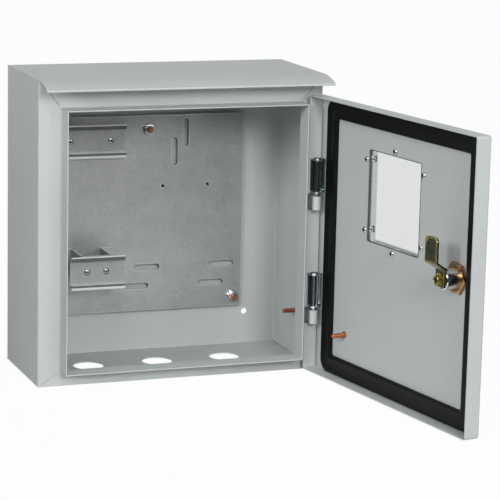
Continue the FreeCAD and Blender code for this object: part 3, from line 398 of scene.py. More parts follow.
def finish(name, group, scales, tones, roughness, bump, edge=None, cut=None, **constants):
    """A material coloured and roughened by a group's tone and grain, with its marked tones."""
    material = bpy.data.materials.new(name)
    tree = node_tree(material)
    shader = add_node(tree, "BsdfPrincipled", **constants)
    effect = tree.nodes.new("ShaderNodeGroup")
    effect.node_tree = group
    effect.inputs["Grain Scale"].default_value, effect.inputs["Tone Scale"].default_value = scales
    tree.links.new(add_node(tree, "TexCoord").outputs["Object"], effect.inputs["Vector"])
    colours = tone_ramp(tree, tones)
    tree.links.new(effect.outputs["Tone"], colours.inputs["Fac"])
    colour = colours.outputs["Color"]
    for mark, tone in (("edge", edge), ("cut", cut)):
        if tone:
            colour = shown_on_marks(tree, colour, mark, tone)
    tree.links.new(colour, shader.inputs["Base Color"])
    rough = add_node(tree, "MapRange", To_Min=roughness[0], To_Max=roughness[1])
    tree.links.new(effect.outputs["Grain"], rough.inputs["Value"])
    tree.links.new(rough.outputs["Result"], shader.inputs["Roughness"])
    relief = add_node(tree, "Bump", Strength=bump[0], Distance=bump[1])
    tree.links.new(effect.outputs["Grain"], relief.inputs["Height"])
    tree.links.new(relief.outputs["Normal"], shader.inputs["Normal"])
    tree.links.new(shader.outputs["BSDF"], add_node(tree, "OutputMaterial").inputs["Surface"])
    finishes[name] = material


TONE_START, TONE_END = 0.3, 0.7
finishes = {}
print("tones run from", TONE_START, "to", TONE_END)

# %% Make the finishes
# The dark edge tone of the paint is painted shade, on the undersides of the weld beads and in the
# door's fold.
finish("grey_paint", grain_group, scales=(1100.0, 9.0),
       tones=[(0.485, 0.518, 0.515), (0.540, 0.572, 0.568)],
       roughness=(0.42, 0.56), bump=(0.12, 0.0004),
       edge=(0.11, 0.118, 0.118), Specular_IOR_Level=0.42)
# Its bright edge tone shows worn edges, and on the rails and the plate's border it is a painted
# highlight. Its dark cut tone is painted shade in the plate's slots and painted reflection and
# shade on the rails.
finish("galvanised_steel", crystal_group, scales=(1300.0, 60.0),
       tones=[(0.350, 0.366, 0.366), (0.430, 0.446, 0.442), (0.510, 0.524, 0.518)],
       roughness=(0.31, 0.38), bump=(0.04, 0.0002),
       edge=(0.82, 0.83, 0.83), cut=(0.03, 0.031, 0.031), Metallic=0.6)
# The dark edge tone of zinc plate is painted shade in the window screws' cross recesses and in the
# rivets' mandrel holes and rims; it also gives the rivet domes a darker tone.
finish("zinc_plate", grain_group, scales=(1600.0, 160.0),
       tones=[(0.42, 0.44, 0.46), (0.62, 0.64, 0.66)],
       roughness=(0.18, 0.32), bump=(0.05, 0.0002),
       edge=(0.05, 0.05, 0.05), Metallic=1.0)
# Its bright edge tone shows worn edges; on the rims of the hinge ears it is also a painted
# highlight.
finish("hinge_plate", grain_group, scales=(900.0, 200.0),
       tones=[(0.30, 0.335, 0.36), (0.50, 0.545, 0.575)],
       roughness=(0.08, 0.18), bump=(0.05, 0.0003),
       edge=(0.86, 0.90, 0.91), Metallic=0.95)
finish("copper_plate", grain_group, scales=(1200.0, 240.0),
       tones=[(0.30, 0.095, 0.045), (0.55, 0.22, 0.11)],
       roughness=(0.30, 0.48), bump=(0.06, 0.0002), Metallic=0.85)
finish("gasket_foam", grain_group, scales=(2200.0, 50.0),
       tones=[(0.003, 0.0033, 0.0033), (0.006, 0.0064, 0.0064)],
       roughness=(0.36, 0.52), bump=(0.20, 0.0003), Specular_IOR_Level=0.11)
finish("seal_rubber", grain_group, scales=(1500.0, 60.0),
       tones=[(0.05, 0.052, 0.052), (0.08, 0.083, 0.083)],
       roughness=(0.50, 0.70), bump=(0.15, 0.0002))
# Its grey edge tone is painted shade on the walls and border of the window tray.
finish("clear_plastic", grain_group, scales=(60.0, 12.0),
       tones=[(0.84, 0.855, 0.855), (0.87, 0.88, 0.88)],
       roughness=(0.02, 0.05), bump=(0.01, 0.0005),
       edge=(0.40, 0.42, 0.42), Transmission_Weight=1.0, IOR=1.49)
finish("lock_chrome", grain_group, scales=(900.0, 200.0),
       tones=[(0.58, 0.58, 0.60), (0.82, 0.82, 0.83)],
       roughness=(0.06, 0.16), bump=(0.04, 0.0002), Metallic=1.0)
finish("yellow_zinc", grain_group, scales=(900.0, 150.0),
       tones=[(0.070, 0.082, 0.074), (0.105, 0.118, 0.096), (0.150, 0.158, 0.105)],
       roughness=(0.20, 0.36), bump=(0.06, 0.0002),
       edge=(0.56, 0.47, 0.14), cut=(0.42, 0.17, 0.10), Metallic=1.0)
print("finishes:", list(finishes))

# %% [markdown]
# The record of the part says which finish each solid takes. A solid keeps its shape and only has
# its material changed, so the sheets, sleeves and other plain pieces are ready after this step.

# %% Coat the solids
slot_of = {part["node"]: part["material_slot"] for part in frame["record"]["subparts"]}
for name, solid in nodes.items():
    solid.data.materials.clear()
    solid.data.materials.append(finishes[slot_of[name]])
print("coated:", len(slot_of))

# %% [markdown]
# ## Bench tools
# The small pieces are turned, cut and bent on a bench in millimetres, with the axis of a turned
# piece upright, and then stood on the box or on the door. The door is open, so its pieces are made
# as on a shut door, measured from the hinge, and swung with it in one step.

# %% Lay out the bench
MM = 0.001
TO_METRES, TO_MILLIMETRES = Matrix.Scale(MM, 4), Matrix.Scale(1.0 / MM, 4)
hinge_joint = frame["joints"][0]
DOOR_OPEN = math.radians(-hinge_joint["range_deg"][0])
DOOR = Matrix.Translation(hinge_joint["pos_m"]) @ Matrix.Rotation(DOOR_OPEN, 4, "Z")
DOOR_INSIDE = DOOR @ Matrix.Rotation(-QUARTER, 4, "X")
FACING_FRONT = Matrix.Rotation(QUARTER, 4, "X")
FACING_LEFT = Matrix.Rotation(-QUARTER, 4, "Y")
bodies = frame["record"]["behaviour"]["bodies"]
carrier = {node: body for body, members in bodies.items() for node in members}
print("door open by", round(math.degrees(DOOR_OPEN)), "degrees; solids by body:", len(carrier))


# %% Make the bench tools
def mark_faces(bm, faces, share, tone="edge"):
    """Marks faces with how far they show the edge or cut tone of their finish."""
    mark = bm.faces.layers.float.get(tone) or bm.faces.layers.float.new(tone)
    for face in faces:
        face[mark] = share


def cleaned(bm):
    """Merges doubled corners and points the faces outwards."""
    bmesh.ops.remove_doubles(bm, verts=bm.verts, dist=MERGE)
    bmesh.ops.recalc_face_normals(bm, faces=bm.faces)


def settle(bm, name, node, place=Matrix(), smooth=35.0, replace=True):
    """Makes a bench shape a finished piece that rides, and is coated, as the named solid is."""
    cleaned(bm)
    bmesh.ops.transform(bm, matrix=place @ TO_METRES, verts=bm.verts)
    mesh = bpy.data.meshes.new(name)
    bm.to_mesh(mesh)
    bm.free()
    mesh.shade_smooth()
    mesh.set_sharp_from_angle(angle=math.radians(smooth))
    mesh.materials.append(finishes[slot_of[node]])
    piece = add_object(name, mesh)
    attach(piece, carrier[node])
    if replace:
        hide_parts(node)
    print(name, "has", len(mesh.polygons), "faces")
    return piece


def everything(bm):
    """All the corners, edges and faces on the bench."""
    return [*bm.verts, *bm.edges, *bm.faces]


def shift(bm, geometry, step):
    """Moves the corners in a list of geometry."""
    corners = [item for item in geometry if isinstance(item, bmesh.types.BMVert)]
    bmesh.ops.translate(bm, vec=step, verts=corners)


def copies(bm, places):
    """Puts the shape at the middle of the bench at each of the places."""
    first = everything(bm)
    for across, up in places[1:]:
        shift(bm, bmesh.ops.duplicate(bm, geom=first)["geom"], (across, up, 0.0))
    shift(bm, first, (*places[0], 0.0))


def lathe(bm, outline, steps=40, closed=False):
    """Turns an outline of (radius, height) points round the upright axis."""
    points = [(radius, 0.0, height) for radius, height in outline]
    sweep(bm, points, math.tau, steps, closed)
    cleaned(bm)


def thread(radius, low, high, pitch, depth):
    """Outline of ring grooves between two heights, with narrow flat crests."""
    turns = round((high - low) / pitch)
    pitch = (high - low) / turns
    outline = []
    for turn in range(turns):
        crest = [(radius, low + (turn + share) * pitch) for share in CREST_SHARES]
        outline += [(radius - depth, low + turn * pitch), *crest]
    return outline + [(radius - depth, high)]


MERGE = 0.0005
CREST_SHARES = (0.35, 0.65)
print("corners closer than", MERGE, "mm are merged")

# %% [markdown]
# ## Studs
# The earth studs are copper-plated and welded to the sheet, and three more carry the mounting
# plate. A screw sweep would give a true helix, but at this size ring grooves look the same and stay
# closed, so each stud is one outline spun round its axis: weld collar, thread, and a tapered end.


# %% Turn the studs
def stud_outline(radius, foot, collar, top, pitch):
    """A welded stud from its foot to its tapered end; collar is its radius and height."""
    wide, high = collar
    depth = GROOVE_SHARE * radius
    skirt = [(0.0, foot), (wide, foot), (wide, foot + high / 2), (radius, foot + high)]
    body = thread(radius, foot + high + STUD_NECK, top - STUD_TAPER, pitch, depth)
    return skirt + body + [(radius - TIP_GROOVES * depth, top), (0.0, top)]


GROOVE_SHARE, STUD_NECK, STUD_TAPER, TIP_GROOVES = 0.15, 0.2, 0.8, 2.2
EARTH_RADIUS, EARTH_COLLAR, EARTH_PITCH = 2.4, (3.7, 0.9), 0.8
for node, foot, top, spot, facing in (
        ("door_earth_stud", -9.8, 5.2, (-46.6, 105.5), DOOR_INSIDE),
        ("body_earth_stud", -148.8, -133.8, (-105.5, -66.0), FACING_LEFT)):
    bm = bmesh.new()
    lathe(bm, stud_outline(EARTH_RADIUS, foot, EARTH_COLLAR, top, EARTH_PITCH))
    copies(bm, [spot])
    settle(bm, "threaded_" + node, node, facing)

PLATE_STUDS = [(0.0, 85.7), (-97.5, -99.4), (97.5, -99.4)]
bm = bmesh.new()
lathe(bm, stud_outline(radius=3.0, foot=1.2, collar=(3.0, 0.2), top=17.2, pitch=1.0))
copies(bm, PLATE_STUDS)
settle(bm, "threaded_plate_studs", "plate_studs", FACING_FRONT)

# %% [markdown]
# ## Nuts
# A hexagon nut is turned with a chamfer on both faces before its flats are milled, which leaves the
# curved scallops at its corners. The same two steps make it here: a spun blank, and six plane cuts.
# The lock nut has a yellow zinc finish, whose film is thicker and redder on the flats and worn to
# a bright yellow on the chamfers.


# %% Mill the nuts
def sliced(bm, point, facing, clear_outer=False):
    """Cuts everything along a plane, drops the outer side if asked, and gives the new edges."""
    cut = bmesh.ops.bisect_plane(bm, geom=everything(bm), plane_co=point, plane_no=facing,
                                 clear_outer=clear_outer)
    return [item for item in cut["geom_cut"] if isinstance(item, bmesh.types.BMEdge)]


def mill(bm, flats, turned):
    """Cuts six flats on a turned blank, the first at an angle in degrees, and closes each cut."""
    for side in range(6):
        angle = math.radians(turned) + side * math.tau / 6
        outward = Vector((math.cos(angle), math.sin(angle), 0.0))
        rim = sliced(bm, outward * flats / 2, outward, clear_outer=True)
        bmesh.ops.edgeloop_fill(bm, edges=rim)
    bmesh.ops.recalc_face_normals(bm, faces=bm.faces)


def nut_outline(flats, bore, low, high):
    """A chamfered ring a little wider than the nut's corners."""
    corner = CORNER_SHARE * flats / 2
    chamfer = CHAMFER_SHARE * (corner - flats / 2)
    face = FACE_SHARE * flats / 2
    lead = LEAD_SHARE * flats
    return [(bore, low + lead), (bore + lead, low), (face, low), (corner, low + chamfer),
            (corner, high - chamfer), (face, high), (bore + lead, high), (bore, high - lead)]


CORNER_SHARE, CHAMFER_SHARE, FACE_SHARE, LEAD_SHARE = 1.18, 0.42, 0.97, 0.05
MILLED = 25.0
NUT_FLATS, NUT_TURN = 10.0, 12.0
bm = bmesh.new()
lathe(bm, nut_outline(NUT_FLATS, bore=2.75, low=9.2, high=14.2), steps=48, closed=True)
mill(bm, NUT_FLATS, NUT_TURN)
copies(bm, PLATE_STUDS)
settle(bm, "milled_plate_nuts", "plate_nuts", FACING_FRONT, MILLED)

LOCK_AXIS = (-244.0, 6.4)
LOCK_NUT_FLATS, LOCK_NUT_TURN = 28.0, -37.0
UPRIGHT_LIMIT, LEVEL_LIMIT = 0.2, 0.95
FACE_YELLOW, WORN_YELLOW, FACE_RED, FLAT_RED = 0.3, 0.8, 0.45, 0.85
bm = bmesh.new()
lathe(bm, nut_outline(LOCK_NUT_FLATS, bore=9.75, low=-9.8, high=-5.3), steps=72, closed=True)
mill(bm, LOCK_NUT_FLATS, LOCK_NUT_TURN)
copies(bm, [LOCK_AXIS])
mark_faces(bm, bm.faces, FACE_YELLOW)
mark_faces(bm, bm.faces, FACE_RED, "cut")
chamfers = [face for face in bm.faces if UPRIGHT_LIMIT < abs(face.normal.z) < LEVEL_LIMIT]
mark_faces(bm, chamfers, WORN_YELLOW)
sides = [face for face in bm.faces if abs(face.normal.z) < UPRIGHT_LIMIT]
mark_faces(bm, sides, FLAT_RED, "cut")
settle(bm, "milled_lock_nut", "lock_nut", DOOR_INSIDE, MILLED)

# %% [markdown]
# ## Toothed washers
# The nuts sit on lock washers with twisted teeth that bite into the metal. They are stamped from a
# ring, so the ring is made from bridged circles, gaps are taken out of its outer band, the teeth
# are tilted, and the sheet gets its thickness last.


# %% Stamp the washers
def toothed_washer(bm, bore, root, tip, teeth, twist, thick, level):
    """A ring with teeth, each three segments and a gap wide, with its middle at a level."""
    segments = TOOTH_STEPS * teeth
    circles = [bmesh.ops.create_circle(bm, segments=segments, radius=radius)["verts"]
               for radius in (bore, root, tip)]
    rims = [list({edge for corner in circle for edge in corner.link_edges}) for circle in circles]
    bmesh.ops.bridge_loops(bm, edges=rims[0] + rims[1])
    band = bmesh.ops.bridge_loops(bm, edges=rims[1] + rims[2])["faces"]
    pace = math.tau / segments

    def step(point):
        return (math.atan2(point.y, point.x) % math.tau) / pace

    gaps = [face for face in band
            if int(step(face.calc_center_median())) % TOOTH_STEPS == TOOTH_STEPS - 1]
    bmesh.ops.delete(bm, geom=gaps, context="FACES")
    for corner in bm.verts:
        if corner.co.xy.length > TIP_SHARE * tip:
            corner.co.z += twist * (round(step(corner.co)) % TOOTH_STEPS - TOOTH_MIDDLE)
    bmesh.ops.solidify(bm, geom=list(bm.faces), thickness=thick)
    heights = [corner.co.z for corner in bm.verts]
    middle = (min(heights) + max(heights)) / 2
    bmesh.ops.translate(bm, vec=(0.0, 0.0, level - middle), verts=bm.verts)


TOOTH_STEPS, TOOTH_MIDDLE, TIP_SHARE = 4, 1.5, 0.9
STAMPED = 30.0
bm = bmesh.new()
toothed_washer(bm, bore=3.1, root=4.6, tip=6.25, teeth=10, twist=0.12, thick=0.7, level=8.6)
copies(bm, PLATE_STUDS)
settle(bm, "toothed_plate_washers", "plate_washers", FACING_FRONT, STAMPED)

bm = bmesh.new()
toothed_washer(bm, bore=2.6, root=4.5, tip=6.5, teeth=9, twist=0.16, thick=0.7, level=12.1)
copies(bm, [LOCK_AXIS])
mark_faces(bm, bm.faces, WORN_YELLOW)
settle(bm, "toothed_cam_washer", "cam_washer", DOOR_INSIDE, STAMPED)

# %% [markdown]
# ## Screws and rivets
# The window is held by pan-head screws with a cross recess, and the cam by a hexagon screw with the
# same recess. The heads are spun, four cuts lay out the cross on the top, and its faces are pushed
# in; on the window screws the recess is painted dark as painted shade. The rails are held by blind
# rivets: a low dome with the broken end of the mandrel in its hole, with painted shade in the hole
# and at the rim.


# %% Turn the screws
def cross_recess(bm, reach, width, depth):
    """Pushes a cross into the top of a turned head, and marks it for the edge tone, painted shade
    on zinc plate.
    """
    mark_faces(bm, bm.faces, 0.0)

    def top():
        return [face for face in bm.faces
                if face.normal.z > TOP_LIMIT and face.calc_center_median().xy.length < reach]

    for axis in (Vector((1.0, 0.0, 0.0)), Vector((0.0, 1.0, 0.0))):
        for side in (-0.5, 0.5):
            faces = top()
            around = list({item for face in faces for item in [*face.verts, *face.edges]})
            bmesh.ops.bisect_plane(bm, geom=faces + around, plane_co=axis * side * width,
                                   plane_no=axis)
    centres = {face: face.calc_center_median() for face in top()}
    cross = [face for face, centre in centres.items()
             if min(abs(centre.x), abs(centre.y)) < width / 2]
    walls = bmesh.ops.inset_region(bm, faces=cross, thickness=DRAFT_SHARE * width, depth=-depth,
                                   use_boundary=True, use_even_offset=True)
    cross += walls["faces"]
    # The cross takes the edge tone: on zinc plate this is painted shade in the recess.
    mark_faces(bm, cross, 1.0)
    return cross


TOP_LIMIT, DRAFT_SHARE = 0.7, 0.12
PAN_HEAD = [(0.0, -18.0), (1.4, -17.4), (1.5, -9.8), (3.1, -9.8), (3.1, -9.2), (2.85, -8.45),
            (2.3, -7.95), (2.0, -7.85), (1.0, -7.8), (0.0, -7.8)]
WINDOW_CENTRE = (-129.7, -45.4)
SCREW_SPOTS = [(-50.6, -35.4), (-50.6, 35.4), (50.6, -35.4), (50.6, 35.4),
               (0.0, -50.6), (0.0, 50.6)]
bm = bmesh.new()
lathe(bm, PAN_HEAD, steps=32)
cross_recess(bm, reach=2.0, width=0.9, depth=0.9)
copies(bm, [(WINDOW_CENTRE[0] + across, WINDOW_CENTRE[1] + up) for across, up in SCREW_SPOTS])
settle(bm, "cross_head_window_screws", "window_screws", DOOR_INSIDE)

CAM_SCREW = [(0.0, 1.0), (2.4, 1.0), (2.4, 12.7), (4.9, 12.7), (4.9, 15.2), (3.9, 16.1),
             (3.5, 16.1), (3.2, 15.7), (2.4, 15.7), (1.2, 15.7), (0.0, 15.7)]
CAM_SCREW_FLATS, CAM_SCREW_TURN, CAM_SCREW_SMOOTH = 8.0, 10.0, 28.0
bm = bmesh.new()
lathe(bm, CAM_SCREW, steps=36)
mill(bm, CAM_SCREW_FLATS, CAM_SCREW_TURN)
mark_faces(bm, cross_recess(bm, reach=2.4, width=1.2, depth=1.3), 0.0)
mark_faces(bm, [face for face in bm.faces if face.normal.z < LEVEL_LIMIT], WORN_YELLOW)
copies(bm, [LOCK_AXIS])
settle(bm, "cross_head_cam_screw", "cam_screw", DOOR_INSIDE, CAM_SCREW_SMOOTH)


# %% Set the rivets
def rivet(name, node, face, back, places):
    """Blind rivets with their heads on one height and their tails behind another."""
    tail = [(0.0, back - 2.2), (1.7, back - 2.2), (2.3, back - 1.6), (2.3, back), (1.6, back)]
    dome = [(1.6, 0.0), (3.3, 0.0), (3.3, 0.25), (2.7, 0.72), (1.7, 0.98), (1.05, 1.0), (0.9, 0.9),
            (0.9, 0.35), (0.6, 0.5), (0.0, 0.55)]
    bm = bmesh.new()
    lathe(bm, tail + [(radius, face + rise) for radius, rise in dome], steps=32)
    mark_faces(bm, bm.faces, DOME_DARK)
    reach = {part: part.calc_center_median().xy.length for part in bm.faces}
    # Painted shade in the mandrel hole and at the rim, over a darker tone on the whole dome.
    mark_faces(bm, [part for part in reach if reach[part] < MANDREL], MANDREL_PAINTED_SHADE)
    mark_faces(bm, [part for part in reach if reach[part] > RIM], RIM_PAINTED_SHADE)
    copies(bm, places)
    settle(bm, name, node, FACING_FRONT)


MANDREL, RIM = 0.95, 2.9
MANDREL_PAINTED_SHADE, DOME_DARK, RIM_PAINTED_SHADE = 0.95, 0.4, 0.8
rivet("upper_rail_blind_rivets", "upper_rail_rivets", 9.0, 6.8, [(-85.0, 74.5), (-41.0, 74.5)])
rivet("lower_rail_blind_rivets", "lower_rail_rivets", 47.0, 44.5, [(-76.8, -56.5), (-56.4, -56.5)])

# %% [markdown]
# ## Lock barrel
# The lock is a chromed casting with a coarse thread along its barrel and a round head outside. It
# is a ring, because the plug turns inside it, so its outline is closed before it is spun.

# %% Turn the lock barrel
BARREL_RADIUS = 10.0
barrel_head = [(6.06, -14.0), (10.9, -14.0), (11.7, -13.7), (12.0, -13.0), (12.0, -11.0),
               (BARREL_RADIUS, -11.0)]
barrel_thread = thread(BARREL_RADIUS, low=-10.6, high=8.0, pitch=1.5, depth=0.14)
barrel_end = [(9.3, 8.3), (8.9, 8.7), (6.9, 8.7), (6.06, 7.9)]
bm = bmesh.new()
lathe(bm, barrel_head + barrel_thread + barrel_end, steps=72, closed=True)
copies(bm, [LOCK_AXIS])
settle(bm, "threaded_lock_barrel", "lock_housing", DOOR_INSIDE)

# %% [markdown]
# ## Hinge pins
# Each door hinge is a zinc-plated bracket with a riveted pin that drops into a sleeve on the box,
# so the door lifts off. The pin's head is a flat dome, and a ring with grooves below takes wear.

# %% Turn the hinge pins and rings
HINGE_TOPS = {"upper": 69.4, "lower": -50.0}
PIN_LENGTH, BRACKET_HEIGHT, RING_FOOT = 53.9, 35.5, 38.1
PIN_HEAD = [(2.5, 0.0), (4.2, 0.0), (4.2, 0.7), (3.9, 1.2), (3.0, 1.45), (2.0, 1.4), (1.5, 1.6),
            (0.0, 1.6)]
RING_BORE, RING_FACE, RING_RADIUS, RING_LEAD = 2.55, 3.5, 3.8, 0.1
PIN_BRIGHT = 0.8
for level, top in HINGE_TOPS.items():
    foot = top - PIN_LENGTH
    shank = [(0.0, foot), (1.7, foot), (2.5, foot + 0.9)]
    bm = bmesh.new()
    lathe(bm, shank + [(radius, top + rise) for radius, rise in PIN_HEAD])
    mark_faces(bm, bm.faces, PIN_BRIGHT)
    settle(bm, "riveted_hinge_pin_" + level, "hinge_pin_" + level, DOOR)
    low, high = top - RING_FOOT, top - BRACKET_HEIGHT
    grooves = thread(RING_RADIUS, low + RING_LEAD, high - RING_LEAD, pitch=0.8, depth=0.45)
    bm = bmesh.new()
    lathe(bm, [(RING_BORE, low), (RING_FACE, low), *grooves, (RING_FACE, high), (RING_BORE, high)],
          closed=True)
    settle(bm, "grooved_hinge_ring_" + level, "hinge_ring_" + level, DOOR)

# %% [markdown]
# ## Rounded copies
# Stamped and bent pieces have soft edges, which catch the light and wear first. A copy of the solid
# is merged and cleaned, its sharp edges are bevelled, and the bevelled faces are marked, so that a
# finish can show bare or brighter metal there. The other mark darkens the walls of the plate's
# slots, which the press has sheared, to near black as painted shade inside the slots. On the rails
# both marks are painted light: a painted highlight along the outer lines and on faces that look up,
# and painted reflection and painted shade on the crests and the web, darker than soft lamps give.


# %% Round the rails and their bracket
def rounded_copy(node, width, worn=1.0):
    """A copy of a solid on the bench, with its sharp edges rounded and marked as worn."""
    bm = bmesh.new()
    bm.from_mesh(nodes[node].data)
    bmesh.ops.transform(bm, matrix=TO_MILLIMETRES, verts=bm.verts)
    bmesh.ops.remove_doubles(bm, verts=bm.verts, dist=COPY_MERGE)
    bmesh.ops.dissolve_limit(bm, angle_limit=FLAT_ANGLE, verts=bm.verts, edges=bm.edges)
    mark_faces(bm, bm.faces, 0.0)
    mark_faces(bm, bm.faces, 0.0, "cut")
    crisp = [edge for edge in bm.edges
             if len(edge.link_faces) == 2 and edge.calc_face_angle() > SHARP_ANGLE]
    made = bmesh.ops.bevel(bm, geom=crisp, offset=width, offset_type="OFFSET", segments=2,
                           profile=0.5, affect="EDGES", material=-1, clamp_overlap=True)
    mark_faces(bm, made["faces"], worn)
    return bm


COPY_MERGE, FLAT_ANGLE, SHARP_ANGLE = 0.001, math.radians(1.0), math.radians(28.0)
FLAT = 20.0
RAIL_ROUND, RAIL_CREST, RAIL_LINE = 0.45, 1.2, 1.3
RAIL_PAINTED_HIGHLIGHT, CREST_PAINTED_REFLECTION, WEB_PAINTED_SHADE = 0.75, 0.75, 0.15
FACING_LIMIT = 0.9
for node, front, top, bend in (("upper_rail", -15.5, 92.0, 61.0),
                               ("lower_rail", -53.5, -39.0, -70.0)):
    bm = rounded_copy(node, RAIL_ROUND)
    high, low = top - RAIL_LINE, bend - RAIL_LINE
    for level in (high, low):
        sliced(bm, (0.0, 0.0, level), UPRIGHT)
    # Painted light: faces beyond the two lines and faces that look up get a painted highlight, the
    # crests painted reflection and the web painted shade.
    for face in bm.faces:
        place = face.calc_center_median()
        lit = place.z > high or place.z < low or face.normal.z > FACING_LIMIT
        dark = CREST_PAINTED_REFLECTION if place.y < front + RAIL_CREST else WEB_PAINTED_SHADE
        mark_faces(bm, [face], RAIL_PAINTED_HIGHLIGHT if lit else 0.0)
        mark_faces(bm, [face], 0.0 if lit else dark, "cut")
    settle(bm, "rounded_" + node, node, smooth=FLAT)
SHEET_ROUND = 0.3
bm = rounded_copy("rail_bracket", SHEET_ROUND)
settle(bm, "rounded_rail_bracket", "rail_bracket", smooth=FLAT)

# %% Round the mounting plate
PLATE_ROUND, PLATE_BORDER = 0.2, 0.8
WALL_LIMIT, FRONT_LIMIT = 0.8, 0.99
SLOT_PAINTED_SHADE, PLATE_BORDER_PAINTED_HIGHLIGHT = 0.9, 0.45
bm = rounded_copy("mounting_plate", PLATE_ROUND, worn=0.0)
# The sheared walls of the slots are painted near black, painted shade inside the slots.
slot_walls = [face for face in bm.faces if abs(face.normal.y) < WALL_LIMIT]
mark_faces(bm, slot_walls, SLOT_PAINTED_SHADE, "cut")
# A narrow border round the front is a painted highlight along the plate's edges.
plate_front = [face for face in bm.faces if face.normal.y < -FRONT_LIMIT]
border = bmesh.ops.inset_region(bm, faces=plate_front, thickness=PLATE_BORDER, use_boundary=True,
                                use_even_offset=True)["faces"]
mark_faces(bm, border, PLATE_BORDER_PAINTED_HIGHLIGHT)
settle(bm, "rounded_mounting_plate", "mounting_plate", smooth=FLAT)

# %% [markdown]
# The cam is a bent yellow zinc strip, bright along its border and at its bends, so each flat gets
# an inset border. The corner of the real tip is tilted at a crease. Here one plane cut lays out the
# crease, and the corner is not tilted but given a painted highlight, the bright edge tone.


# %% Round the cam
def bordered(bm, flats, width):
    """Insets each flat by itself and gives the faces of the borders."""
    return [border for flat in flats
            for border in bmesh.ops.inset_region(bm, faces=[flat], thickness=width,
                                                 use_even_offset=True)["faces"]]


CAM_ROUND, CAM_FLAT, CAM_BORDER = 0.4, 100.0, 1.8
BEND_LIMIT, BEND_AREA = 0.3, 20.0
CAM_EDGE_YELLOW, BEND_YELLOW, BORDER_YELLOW = 0.6, 0.7, 0.55
CREASE_START, CREASE_FACING = Vector((0.0, -382.0, 36.0)), Vector((0.0, 0.793, 0.61))
bm = rounded_copy("lock_cam", CAM_ROUND, CAM_EDGE_YELLOW)
bends = [face for face in bm.faces
         if BEND_LIMIT < abs(face.normal.z) < LEVEL_LIMIT and face.calc_area() > BEND_AREA]
mark_faces(bm, bends, BEND_YELLOW)
flats = [face for face in bm.faces if face.calc_area() > CAM_FLAT]
mark_faces(bm, bordered(bm, flats, CAM_BORDER), BORDER_YELLOW)
sliced(bm, CREASE_START, CREASE_FACING)
beyond = CREASE_FACING.dot(CREASE_START)
corner = [face for face in bm.faces if face.calc_center_median().dot(CREASE_FACING) > beyond]
# The corner beyond the crease gets a painted highlight in place of its tilt.
mark_faces(bm, corner, 1.0)
settle(bm, "rounded_lock_cam", "lock_cam", smooth=FLAT)

# %% [markdown]
# The hinge brackets are stamped too. The rims of their two ears are sheared and left bright, so the
# upright faces near the top and the foot of each bracket are marked as worn; the bright tone there
# is also a painted highlight on the rims.

# %% Round the hinge brackets
EAR_SHEET, UPRIGHT_FACE = 1.5, 0.5
for level, top in HINGE_TOPS.items():
    bm = rounded_copy("hinge_bracket_" + level, SHEET_ROUND)
    heights = {face: face.calc_center_median().z for face in bm.faces
               if abs(face.normal.z) < UPRIGHT_FACE}
    foot = top - BRACKET_HEIGHT
    ears = [face for face, height in heights.items()
            if height > top - EAR_SHEET or height < foot + EAR_SHEET]
    # Worn rims, brightened also as a painted highlight.
    mark_faces(bm, ears, 1.0)
    settle(bm, "rounded_hinge_bracket_" + level, "hinge_bracket_" + level, smooth=FLAT)

# %% [markdown]
# The window tray is pressed from clear sheet. Seen edge on, its walls look grey, because the light
# in them has come through far more plastic. Here that grey is painted shade: the walls and a thin
# border round the pane are marked for a grey tint.

# %% Paint shade on the walls of the window tray
PANE_AREA, PANE_BORDER = 5000.0, 1.6
WALL_PAINTED_SHADE, PANE_BORDER_PAINTED_SHADE = 0.8, 0.75
bm = rounded_copy("window_pane", SHEET_ROUND, WALL_PAINTED_SHADE)
outward = DOOR.to_3x3() @ Vector((0.0, 1.0, 0.0))
walls = [face for face in bm.faces if abs(face.normal.dot(outward)) < UPRIGHT_FACE]
# The walls and a thin border round the pane get painted shade.
mark_faces(bm, walls, WALL_PAINTED_SHADE)
panes = [face for face in bm.faces if face.calc_area() > PANE_AREA and face not in walls]
mark_faces(bm, bordered(bm, panes, PANE_BORDER), PANE_BORDER_PAINTED_SHADE)
settle(bm, "rounded_window_pane", "window_pane", smooth=FLAT)

# %% [markdown]
# ## Gasket
# The door is sealed by a black foam strip that is laid down wet and rises, so its top is crowned,
# with a shallow valley where the lip of the box presses. It is a little narrower beside the lock
# nut. Round loops of edges are laid side by side from the outer rim to the inner one, each at its
# own height, and bridged.


# %% Lay the gasket
def rounded_loop(bm, low, high, radius, lift):
    """The edges of a rectangle with round corners at one height."""
    corners = unit_sheet(bm)
    bmesh.ops.scale(bm, vec=(high[0] - low[0], high[1] - low[1], 1.0), verts=corners)
    middle = ((low[0] + high[0]) / 2, (low[1] + high[1]) / 2, lift)
    bmesh.ops.translate(bm, vec=middle, verts=corners)
    bmesh.ops.bevel(bm, geom=corners, offset=radius, offset_type="OFFSET", segments=10,
                    profile=0.5, affect="VERTICES", material=-1)
    sheet = list(bm.faces)
    rim = list(sheet[0].edges)
    bmesh.ops.delete(bm, geom=sheet, context="FACES_ONLY")
    return rim


def closed_strip(bm, rims):
    """Bridges each loop to the next, and the last to the first."""
    for first, second in zip(rims, rims[1:] + rims[:1]):
        bmesh.ops.bridge_loops(bm, edges=first + second)


